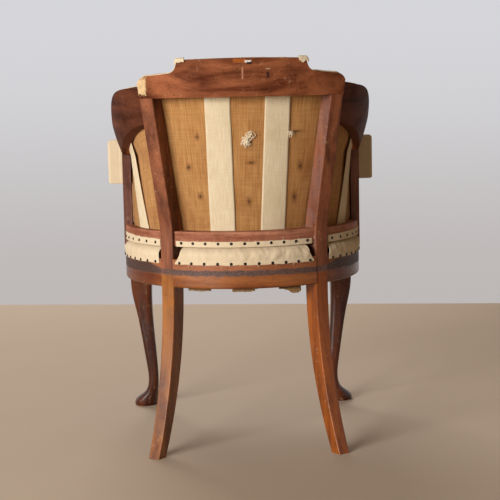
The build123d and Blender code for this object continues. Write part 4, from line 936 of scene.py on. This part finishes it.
for side, word in SIDES:

    def quarter_strap_place(u, v, side=side):
        depth = QUARTER_STRAP_DEPTH + (u - 0.5) * QUARTER_STRAP[0]
        skew = (u - 0.5) * QUARTER_STRAP_SKEW
        z = PANEL_FOOT + v * (QUARTER_STRAP_HEAD - PANEL_FOOT) + v * skew
        slack = on_panel(z, depth - QUARTER_STRAP_SLANT * v, side)
        foot = on_panel(PANEL_FOOT, depth, side)
        head = on_panel(QUARTER_STRAP_HEAD + skew, depth - QUARTER_STRAP_SLANT, side)
        return slack.lerp(foot.lerp(head, v), 0.55)

    strap = lay_cloth(
        "quarter_strap_" + word,
        QUARTER_STRAP,
        (8, 50),
        quarter_strap_place,
        cotton,
        STRAP_THICKNESS,
    )
    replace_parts(strap, "quarter_webbing_" + word)

    def quarter_cloth_place(u, v, side=side):
        inset = QUARTER_INSET + QUARTER_DRAW * min(max(u - 0.1, 0.0) / 0.2, 1.0)
        guess = wing_place(u, PANEL_FOOT, inset, side)
        for _ in range(3):
            top = min(wing_edge_height(guess[1] - TUB_Y) - QUARTER_LAP, QUARTER_TOP)
            guess = wing_place(u, PANEL_FOOT + v * (top - PANEL_FOOT), inset, side)
        fold = 0.0006 * ripple(guess[1] * 60, guess[2] * 9, side * 4.0)
        return guess[0] + side * fold, guess[1], guess[2]

    panel = lay_cloth(
        "quarter_hessian_cloth_" + word,
        QUARTER_CLOTH,
        (50, 60),
        quarter_cloth_place,
        hessian,
        HESSIAN_THICKNESS,
    )
    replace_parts(panel, "quarter_hessian_" + word)


# Arm panels: an upright cotton strap and a hessian panel between wing post and arm post on each
# side, tacked to the arm rail above and the arm's tacking rail below.
ARM_STRAP = (0.050, 0.110)
ARM_STRAP_X = 0.23725
ARM_STRAP_Y = -0.0725
ARM_CLOTH = (0.183, 0.110)
ARM_CLOTH_X = 0.23575
ARM_CLOTH_FRONT = -0.180
for side, word in SIDES:

    def arm_strap_place(u, v, side=side):
        y = ARM_STRAP_Y + (u - 0.5) * ARM_STRAP[0]
        return side * ARM_STRAP_X, TUB_Y + y, PANEL_FOOT + v * ARM_STRAP[1]

    strap = lay_cloth(
        "arm_strap_" + word, ARM_STRAP, (8, 16), arm_strap_place, cotton, 0.0013
    )
    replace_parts(strap, "arm_webbing_" + word)

    def arm_cloth_place(u, v, side=side):
        y = ARM_CLOTH_FRONT + u * ARM_CLOTH[0]
        fold = 0.0003 * ripple(y * 50, v * 3, side * 2.0)
        return side * (ARM_CLOTH_X + fold), TUB_Y + y, PANEL_FOOT + v * ARM_CLOTH[1]

    panel = lay_cloth(
        "arm_hessian_cloth_" + word,
        ARM_CLOTH,
        (36, 22),
        arm_cloth_place,
        hessian,
        HESSIAN_THICKNESS,
    )
    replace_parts(panel, "arm_hessian_" + word)


# Pads: horsehair stuffing under tight calico on the seat, the inside back, the quarters, the inside
# arms and the arm rolls. Each starts a little small and is blown up like a stuffed bag.
STUFFING_PRESSURE = 4.0
STUFFING_STEPS = 20
SEAT_GAP_TOP = 0.431
ROLL_SIDE_TOP = 0.58


def calico_cloth(name):
    """Unbleached cotton with a fine weave, soft creases and faint brown stains."""
    finish, tree, shader, place = new_finish(name)
    cloud = rise(tree, speckle(tree, place, 16.0, 6.0, 0.65), 0.45, 0.8)
    fine = speckle(tree, place, 900.0, 2.0, 0.5)
    colour = tint(tree, fine, paint(190, 170, 141), paint(220, 204, 176))
    colour = tint(tree, times(tree, cloud, 0.5), colour, paint(182, 154, 116))
    tree.links.new(colour, shader.inputs["Base Color"])
    soft_surface(shader, 0.9)
    creases = speckle(tree, place, 70.0, 4.0, 0.55, 1.2)
    roughen(tree, shader, reckon(tree, "ADD", times(tree, fine, 0.25), creases), 0.0009)
    return finish


calico = calico_cloth("calico")


def settle(piece):
    """Applies a piece's modifiers to its mesh."""
    ready = piece.evaluated_get(bpy.context.evaluated_depsgraph_get())
    data = bpy.data.meshes.new_from_object(ready)
    piece.modifiers.clear()
    piece.data = data


def stuffed(name, node, voxel, inset, cap, firm):
    """A pad in the place of a node: its shape remeshed at a voxel size, drawn in by an inset, then blown
    up as a cloth bag. No point moves by more than the cap, and those that firm finds stay where they lie
    on the frame."""
    mesh = bmesh.new()
    mesh.from_mesh(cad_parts[node].data)
    bmesh.ops.remove_doubles(mesh, verts=mesh.verts, dist=0.00002)
    pad = add_piece(name, mesh, calico)
    remesh = pad.modifiers.new("even_faces", "REMESH")
    remesh.mode = "VOXEL"
    remesh.voxel_size = voxel
    settle(pad)
    mesh = bmesh.new()
    mesh.from_mesh(pad.data)
    for _ in range(3):
        bmesh.ops.smooth_vert(
            mesh, verts=mesh.verts, factor=0.5, use_axis_x=True, use_axis_y=True, use_axis_z=True
        )
    mesh.normal_update()
    for point in mesh.verts:
        point.co -= point.normal * inset
    mesh.to_mesh(pad.data)
    mesh.free()
    start = [(point.co.copy(), firm(point.co, point.normal)) for point in pad.data.vertices]
    bag = pad.modifiers.new("stuffing", "CLOTH")
    bag.settings.quality = 5
    bag.settings.use_pressure = True
    bag.settings.uniform_pressure_force = STUFFING_PRESSURE
    bag.settings.effector_weights.gravity = 0.0
    for step in range(1, STUFFING_STEPS + 1):
        scene.frame_set(step)
    settle(pad)
    scene.frame_set(1)
    for point, (before, held) in zip(pad.data.vertices, start):
        moved = point.co - before
        if held:
            point.co = before
        elif moved.length > cap:
            point.co = before + moved * (cap / moved.length)
    pad.data.polygons.foreach_set("use_smooth", [True] * len(pad.data.polygons))
    smooth = pad.modifiers.new("smooth_cover", "SUBSURF")
    smooth.levels = 1
    smooth.render_levels = 1
    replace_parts(pad, node)


def faces_out(spot, normal):
    """True where a pad faces out of the tub, towards the frame."""
    outward = Vector((spot.x, spot.y - TUB_Y, 0.0)).normalized()
    return normal.dot(outward) > 0.15


def under_rails(spot, normal):
    """True on the seat pad's underside and in the gap below the tacking rails."""
    return spot.z < SEAT_GAP_TOP


def boxed(spot, normal):
    """True on the flat sides, the ends and the underside of an arm roll."""
    return spot.z < ROLL_SIDE_TOP or normal.z < 0.75


stuffed("seat_pad_cover", "seat_pad", 0.006, 0.003, 0.007, under_rails)
stuffed("back_pad_cover", "back_pad", 0.005, 0.003, 0.007, faces_out)
for word in ("left", "right"):
    stuffed("quarter_pad_cover_" + word, "quarter_pad_" + word, 0.005, 0.003, 0.006, faces_out)
    stuffed("inside_arm_pad_cover_" + word, "inside_arm_pad_" + word, 0.005, 0.003, 0.007, faces_out)
    stuffed("arm_roll_" + word, "arm_pad_" + word, 0.004, 0.0015, 0.005, boxed)


# Arm ends: the calico of each arm roll is turned over the rear end of the arm rail and round the
# roll's corner, and stitched flat beside the wing post.
ARM_END = (0.0415, 0.093)
ARM_END_X = 0.2566
ARM_END_Y = -0.0272
ARM_END_FLAT = 0.0270
ARM_END_BEND = 0.0045
ARM_END_TURNED = 0.03407
ARM_END_FOOT = 0.5472
ARM_END_HEAD = 0.6425
ROLL_CORNER = 0.008
ROLL_CORNER_X = 0.2801
POST_LAP = 0.0068
POST_LAP_STEP = 0.0009


def lay_calico(name, size, cells, place, thickness=0.0010, rounds=0, keep=None):
    """A cut of calico laid in its place on the chair."""
    return lay_cloth(name, size, cells, place, calico, thickness, rounds, keep)


for side, word in SIDES:

    def arm_end_place(u, v, side=side):
        run = u * ARM_END[0]
        turn = min(max(run - ARM_END_FLAT, 0.0) / ARM_END_BEND, math.pi / 2)
        x = ARM_END_X + min(run, ARM_END_FLAT) + ARM_END_BEND * math.sin(turn)
        y = ARM_END_Y - ARM_END_BEND * (1 - math.cos(turn)) - max(run - ARM_END_TURNED, 0.0)
        y += POST_LAP_STEP if run < POST_LAP else 0.0
        corner = ROLL_CORNER - math.sqrt(max(ROLL_CORNER**2 - max(x - ROLL_CORNER_X, 0.0) ** 2, 0.0))
        low = ARM_END_FOOT + 0.5 * corner
        high = ARM_END_HEAD - corner
        z = low + v * (high - low)
        return side * x, y + 0.0005 * ripple(x * 70, z * 50, side * 12.0), z

    arm_end = lay_calico("arm_end_calico_" + word, ARM_END, (36, 40), arm_end_place, 0.0009)


# Calico over the seat's edge: the seat's cover bulges out of the gap below the tacking rails, turns
# down over the seat rail and ends in a ragged cut edge under a row of tacks.
EDGE_PROFILE = (
    (0.25665, 0.3938), (0.25665, 0.3968), (0.25665, 0.3998), (0.25680, 0.4033), (0.25760, 0.4075),
    (0.25800, 0.4120), (0.25700, 0.4170), (0.25400, 0.4215), (0.24900, 0.4250), (0.24300, 0.4272),
    (0.23700, 0.4280),
)
EDGE_TALL = 0.048
BACK_EDGE = (0.304, EDGE_TALL)
BACK_EDGE_SPAN = math.radians(67.4)
BACK_EDGE_DRAW = math.radians(5.4)


def ragged(run, seed):
    """How far a cut edge strays at a point of its run."""
    frayed = ripple(run * 260, seed, 0.0) * 0.0009
    return ripple(run * 45, seed, 5.0) * 0.0014 + frayed


def between(rows, share):
    """The pair of values at a share of the way through rows of pairs."""
    spot = share * (len(rows) - 1)
    i = min(int(spot), len(rows) - 2)
    pair = Vector(rows[i]).lerp(Vector(rows[i + 1]), spot - i)
    return pair.x, pair.y


def edge_point(share, run, seed):
    """Radius and height on the seat edge's profile, with puckers between the tacks."""
    radius, height = between(EDGE_PROFILE, share)
    swell = math.sin(math.pi * min(max(share * 1.1 - 0.2, 0.0), 1.0))
    pucker = ripple(run * 55, share * 2.0, seed)
    radius += swell * (0.0022 * pucker + 0.0012 * ripple(run * 140, share * 4, seed))
    if share == 0:
        height += ragged(run, seed)
    return radius, height


def back_edge_place(u, v):
    drawn_in = min(max(v - 0.12, 0.0) / 0.4, 1.0)
    bearing = (u - 0.5) * (BACK_EDGE_SPAN - BACK_EDGE_DRAW * drawn_in)
    radius, z = edge_point(v, bearing * TUB_RADIUS, 3.0)
    return radius * math.sin(bearing), TUB_Y + radius * math.cos(bearing), z


back_edge = lay_calico("seat_edge_calico_back", BACK_EDGE, (120, 20), back_edge_place, rounds=1)
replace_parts(back_edge, "seat_edge_back")

SIDE_START = math.radians(43.2)
SIDE_ROUND = (math.pi / 2 - SIDE_START) * TUB_RADIUS
SIDE_STRAIGHT = 0.244
SIDE_EDGE = (SIDE_ROUND + SIDE_STRAIGHT, EDGE_TALL)
POST_CUT_FROM = 0.31
WING_POST_SPAN = (0.003, 0.037)
ARM_POST_SPAN = (-0.187, -0.148)


def side_spot(run, radius, side):
    """Plan point at a run along the chair's side, round behind and straight in front."""
    if run < SIDE_ROUND:
        bearing = SIDE_START + run / TUB_RADIUS
        return side * radius * math.sin(bearing), TUB_Y + radius * math.cos(bearing)
    return side * radius, TUB_Y - (run - SIDE_ROUND)


def clear_of_posts(u, v):
    """False where the side's calico is cut to pass a wing post or an arm post."""
    depth = side_spot(u * SIDE_EDGE[0], TUB_RADIUS, 1)[1] - TUB_Y
    at_wing_post = WING_POST_SPAN[0] < depth < WING_POST_SPAN[1]
    at_arm_post = ARM_POST_SPAN[0] < depth < ARM_POST_SPAN[1]
    return depth > ARM_POST_SPAN[0] and (v < POST_CUT_FROM or not (at_wing_post or at_arm_post))


for side, word in SIDES:

    def side_edge_place(u, v, side=side):
        run = u * SIDE_EDGE[0]
        radius, z = edge_point(v, run, 11.0 * side)
        return *side_spot(run, radius, side), z

    side_edge = lay_calico(
        "seat_edge_calico_" + word, SIDE_EDGE, (170, 20), side_edge_place, rounds=1, keep=clear_of_posts
    )
    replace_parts(side_edge, "seat_edge_" + word)

FRONT_EDGE = (0.630, EDGE_TALL)
FRONT_FACE = -0.246
FRONT_BOW = 0.008
FRONT_BOW_HALF = 0.210
ARM_POST_FACE = -0.1865


def front_edge_place(u, v):
    """From the front of one arm post round both corners to the front of the other."""
    run = (u - 0.5) * FRONT_EDGE[0]
    radius, z = edge_point(v, run, 21.0)
    front = FRONT_FACE - (radius - TUB_RADIUS)
    if abs(run) < TUB_RADIUS:
        x = run * radius / TUB_RADIUS
        return x, TUB_Y + front - FRONT_BOW * max(1 - (x / FRONT_BOW_HALF) ** 2, 0.0), z
    back = (abs(run) - TUB_RADIUS) / (FRONT_EDGE[0] / 2 - TUB_RADIUS)
    return math.copysign(radius, run), TUB_Y + front + back * (ARM_POST_FACE - front), z


front_edge = lay_calico("seat_edge_calico_front", FRONT_EDGE, (190, 20), front_edge_place, rounds=1)
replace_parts(front_edge, "seat_edge_front")


# Calico below the tacking rails: the covers of the back and the quarters come out under the rails,
# turn up over their lower faces and end in a cut edge under tacks.
TURN_SHARE = 0.4
TURN_DEPTH = 0.012
TURN_UNDER_Z = 0.4291
TURN_FACE_Z = 0.4298
BACK_TURN = (0.297, 0.026)
BACK_TURN_SPAN = math.radians(68.6)
BACK_TURN_FACE = 0.24765
BACK_TURN_ROUND = 0.2476
BACK_TURN_TALL = 0.0108


def turned_edge(v, outer, tall):
    """Radius and height on a turned up edge, from under the rail at 0 to its cut edge at 1."""
    if v < TURN_SHARE:
        under = v / TURN_SHARE
        return outer - TURN_DEPTH + TURN_DEPTH * under, TURN_UNDER_Z - 0.0002 * under
    return outer, TURN_FACE_Z + tall * (v - TURN_SHARE) / (1 - TURN_SHARE)


def back_turn_place(u, v):
    bearing = (u - 0.5) * BACK_TURN_SPAN
    radius, z = turned_edge(v, BACK_TURN_FACE, BACK_TURN_TALL)
    run = bearing * BACK_TURN_ROUND
    if v == 1:
        z += ragged(run, 31.0)
    radius += 0.0004 * ripple(run * 80, z * 40, 6.0)
    return radius * math.sin(bearing), TUB_Y + radius * math.cos(bearing), z


back_turn = lay_calico("lower_edge_calico_back", BACK_TURN, (140, 15), back_turn_place)
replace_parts(back_turn, "lower_edge_back")

TURN_START = math.radians(42.6)
TURN_END = math.radians(81.6)
SIDE_TURN_FACE = 0.25465
SIDE_TURN_ROUND = 0.2546
SIDE_TURN = ((TURN_END - TURN_START) * SIDE_TURN_ROUND, 0.032)
ARM_TURN = (0.154, 0.026)
ARM_TURN_BACK = 0.0045
ARM_TURN_TALL = 0.0112
for side, word in SIDES:

    def side_turn_place(u, v, side=side):
        bearing = TURN_START + u * (TURN_END - TURN_START)
        run = bearing * SIDE_TURN_ROUND
        tall = 0.0137 + 0.0042 * u - 0.0012 * abs(math.sin(run * 120)) * u
        radius, z = turned_edge(v, SIDE_TURN_FACE, tall)
        if v == 1:
            z += ragged(run, 41.0 * side)
        radius += 0.0004 * ripple(run * 80, z * 40, side * 8.0)
        return side * radius * math.sin(bearing), TUB_Y + radius * math.cos(bearing), z

    side_turn = lay_calico("lower_edge_calico_" + word, SIDE_TURN, (90, 15), side_turn_place)
    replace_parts(side_turn, "lower_edge_" + word)

    def arm_turn_place(u, v, side=side):
        y = ARM_TURN_BACK - u * ARM_TURN[0]
        radius, z = turned_edge(v, SIDE_TURN_FACE, ARM_TURN_TALL)
        if v == 1:
            z += ragged(y, 51.0 * side)
        return side * radius, TUB_Y + y, z

    arm_turn = lay_calico("arm_edge_calico_" + word, ARM_TURN, (70, 15), arm_turn_place)


# Calico over the crest: the inside cover is drawn up the front of the crest rail and over its top edge,
# and tacked down on top, so that a thin pale edge shows above the wood from behind.
CREST_FOLD = (
    (0.0354, -0.0030), (0.0350, 0.0005), (0.0325, 0.0026),
    (0.0280, 0.0028), (0.0220, 0.0016), (0.0160, 0.0008),
)
CREST_CLOTH = (0.440, 0.064)
CREST_CLOTH_SPAN = 0.398
CREST_CLOTH_FOOT = 0.764
RAISED_CLOTH_HALF = 0.124
RAISED_CLOTH_DROP = 0.0020
CREST_BOW = 0.055
CREST_MIDDLE = 0.806
CREST_FALL = 0.002
CREST_LOW = 0.778
RAISED_HALF = 0.127
COVE_HALF = 0.147
COVE_RISE = 0.022
SHOULDER_HALF = 0.185
SHOULDER_FALL = 0.003
SHOULDER_RADIUS = 0.022
SHOULDER_Z = 0.753


def crest_top(x):
    """Height of the crest rail's upper outline at x."""
    away = abs(x)
    if away < RAISED_HALF:
        return CREST_MIDDLE - CREST_FALL * (away / RAISED_HALF) ** 2
    if away < COVE_HALF:
        return CREST_LOW + COVE_RISE * ((COVE_HALF - away) / (COVE_HALF - RAISED_HALF)) ** 3.4
    if away < SHOULDER_HALF:
        return CREST_LOW - SHOULDER_FALL * (away - COVE_HALF) / (SHOULDER_HALF - COVE_HALF)
    return SHOULDER_Z + math.sqrt(max(SHOULDER_RADIUS**2 - (away - SHOULDER_HALF) ** 2, 0.0))


def crest_place(x, z, depth):
    """The point at x and z on the crest rail, at a depth in from its back face."""
    lean = stile_lean(z)
    end = post_point(lean - depth, POST_HALF)
    middle = post_point(lean, 0)[1] + CREST_BOW - depth
    bow = middle - end[1]
    radius = (end[0] ** 2 + bow**2) / (2 * bow)
    return x, TUB_Y + middle - radius + math.sqrt(radius**2 - x * x), z


def crest_cloth_place(u, v):
    x = (u - 0.5) * CREST_CLOTH_SPAN
    top = crest_top(x)
    if v < 0.5:
        depth, lift = CREST_FOLD[0]
        return crest_place(x, CREST_CLOTH_FOOT + (top + lift - CREST_CLOTH_FOOT) * v / 0.5, depth)
    depth, lift = between(CREST_FOLD, (v - 0.5) / 0.5)
    lift += 0.0006 * ripple(x * 70, v * 3, 1.0)
    if abs(x) < RAISED_CLOTH_HALF:
        lift -= RAISED_CLOTH_DROP
    return crest_place(x, top + lift, depth)


crest_cloth = lay_calico("crest_edge_calico", CREST_CLOTH, (200, 24), crest_cloth_place)


# Calico over the wings: the quarter covers are drawn up inside the wings and over their top edges,
# where they are tacked down like the crest's cover.
WING_FOLD = (
    (0.0222, -0.0160), (0.0222, -0.0040), (0.0212, 0.0008),
    (0.0185, 0.0024), (0.0140, 0.0022), (0.0095, 0.0008),
)
WING_CLOTH = (0.250, 0.038)
WING_CLOTH_START = 0.06
WING_CLOTH_RUN = 0.92
for side, word in SIDES:

    def wing_cloth_place(u, v, side=side):
        inset, lift = between(WING_FOLD, v)
        if lift > 0:
            lift += 0.0050 * max(u - 0.55, 0.0) / 0.45
        share = WING_CLOTH_START + WING_CLOTH_RUN * u
        spot = wing_place(share, 0.70, inset, side)
        for _ in range(4):
            spot = wing_place(share, wing_edge_height(spot[1] - TUB_Y) + lift, inset, side)
        return spot

    wing_cloth = lay_calico("wing_edge_calico_" + word, WING_CLOTH, (90, 15), wing_cloth_place)


# Calico scraps: torn corners of an earlier cover still wrap the two raised corners of the crest rail,
# folded over from its top to its back face.
SCRAP_FOLD = (
    (0.0280, 0.0036), (0.0160, 0.0044), (0.0050, 0.0038),
    (-0.0012, 0.0016), (-0.0018, -0.0014), (-0.0016, -0.0042),
)
SCRAP = (0.020, 0.046)
SCRAP_X = 0.1115
SCRAP_SPAN = 0.0195
CREST_CORNER = 0.1268
for side, word in SIDES:

    def scrap_place(u, v, side=side):
        x = SCRAP_X + SCRAP_SPAN * u
        depth, lift = between(SCRAP_FOLD, v)
        lift -= 1.3 * max(x - CREST_CORNER, 0.0)
        if v > 0.6:
            point = max(1 - abs(u - 0.5 - 0.1 * side) / 0.35, 0.0)
            torn = (0.009 - 0.007 * side) * point + 0.004 * ripple(u * 7, side * 3.0, 0.0)
            lift -= (v - 0.6) * torn
        depth -= 0.0009 * ripple(u * 6, v * 6, side * 5.0)
        return crest_place(side * x, crest_top(min(x, CREST_CORNER)) + lift, depth)

    scrap = lay_calico("calico_scrap_" + word, SCRAP, (14, 30), scrap_place, 0.0009)


# Webbing tails: the cut ends of three seat straps hang out below the back seat rail, each a flat strip
# of jute that bends down past the rail's edge. They are given by middle, end and drop.
TAILS = ((-0.091, 0.2265, 0.013), (0.004, 0.2445, 0.0035), (0.093, 0.2255, 0.003))
TAIL_FALL = ((-0.016, 0.0), (-0.004, 0.0004), (0.0, 0.35), (0.001, 1.0))
TAIL = (0.046, 0.026)
TAIL_ROUND = 0.25
TAIL_BELOW = 0.0019
for i, (middle, end, drop) in enumerate(TAILS):

    def tail_place(u, v, middle=middle, end=end, drop=drop):
        x = middle + (u - 0.5) * TAIL[0]
        out, fall = between(TAIL_FALL, v)
        y = end + (math.sqrt(TAIL_ROUND**2 - x * x) - math.sqrt(TAIL_ROUND**2 - middle**2)) + out
        if drop > 0.01:
            fall *= max(1 - abs(u - 0.28) / 0.62, 0.12)
        fall *= drop * (1 + 0.5 * ripple(u * 4, middle * 90, 2.0))
        return x, TUB_Y + y, STRAP_Z - TAIL_BELOW - fall

    tail = lay_cloth(f"webbing_tail_{i + 1}", TAIL, (24, 14), tail_place, jute, 0.0013)


# Loose twine: the frayed ends of the ties that once held the buttons come through the back hessian,
# and single threads stand off the cut edges of the calico, each edge given by its radius and height.
UPPER_CUT = (0.2484, 0.4400)
LOWER_CUT = (0.2574, 0.3945)


def twine_cloth(name):
    """Soft cotton twine with darker twists."""
    finish, tree, shader, place = new_finish(name)
    colour = tint(tree, speckle(tree, place, 700.0), paint(222, 202, 166), paint(250, 240, 216))
    tree.links.new(colour, shader.inputs["Base Color"])
    shader.inputs["Roughness"].default_value = 0.9
    shader.inputs["Sheen Weight"].default_value = 0.2
    roughen(tree, shader, speckle(tree, place, 1400.0), 0.0003)
    return finish


twine = twine_cloth("cotton_twine")


def loose_ends(name, strands, thickness):
    """One piece of loose strands, each given as points along its middle."""
    curve = bpy.data.curves.new(name, "CURVE")
    curve.dimensions = "3D"
    curve.bevel_depth = thickness / 2
    curve.bevel_resolution = 1
    curve.use_fill_caps = True
    for points in strands:
        strand = curve.splines.new("POLY")
        strand.points.add(len(points) - 1)
        for point, spot in zip(strand.points, points):
            point.co = (*spot, 1.0)
    path = bpy.data.objects.new(name, curve)
    scene.collection.objects.link(path)
    data = bpy.data.meshes.new_from_object(path.evaluated_get(bpy.context.evaluated_depsgraph_get()))
    mesh = bmesh.new()
    mesh.from_mesh(data)
    bpy.data.objects.remove(path)
    bmesh.ops.remove_doubles(mesh, verts=mesh.verts, dist=0.00001)
    add_piece(name, mesh, twine)


def tuft(x, z, count, reach, curl, seed):
    """Strands that spread from one point of the back hessian."""
    strands = []
    for i in range(count):
        angle = i * 2.4 + seed
        far = reach * (0.45 + 0.55 * ((i * 7 + 3) % 10) / 10)
        points = []
        for step in range(8):
            share = step / 7
            turn = angle + curl * share * (1 if i % 2 else -1)
            sx = x + far * share * math.cos(turn)
            sz = z + 1.2 * far * share * math.sin(turn) - 0.2 * far * share * share
            off = 0.0006 + 0.0035 * math.sin(math.pi * min(share + 0.1, 1.0)) * (0.5 + (i % 5) / 8)
            points.append(back_place(sx, sz, -off))
        strands.append(points)
    return strands


def edge_threads():
    """Single threads that hang from the cut edges at the back."""
    threads = []
    for i in range(16):
        bearing = math.radians(-31 + 62 * ((i * 5) % 16) / 15)
        high = i % 2
        radius, z = UPPER_CUT if high else LOWER_CUT
        points = []
        for step in range(5):
            swing = bearing + step * 0.0022 * (1 if i % 3 else -1)
            fall = z + (0.0011 if high else -0.0013) * step * (0.6 + (i % 4) * 0.3)
            points.append((radius * math.sin(swing), TUB_Y + radius * math.cos(swing), fall))
        threads.append(points)
    return threads


middle_strands = tuft(-0.0065, 0.6440, 38, 0.0125, 1.2, 0.3) + tuft(-0.0150, 0.6560, 11, 0.013, 2.8, 1.0)
loose_ends("twine_tuft_middle", middle_strands, 0.0010)
loose_ends("twine_tuft_right", tuft(-0.0975, 0.6560, 9, 0.0085, 2.0, 2.0), 0.0009)
loose_ends("calico_threads", edge_threads(), 0.0004)
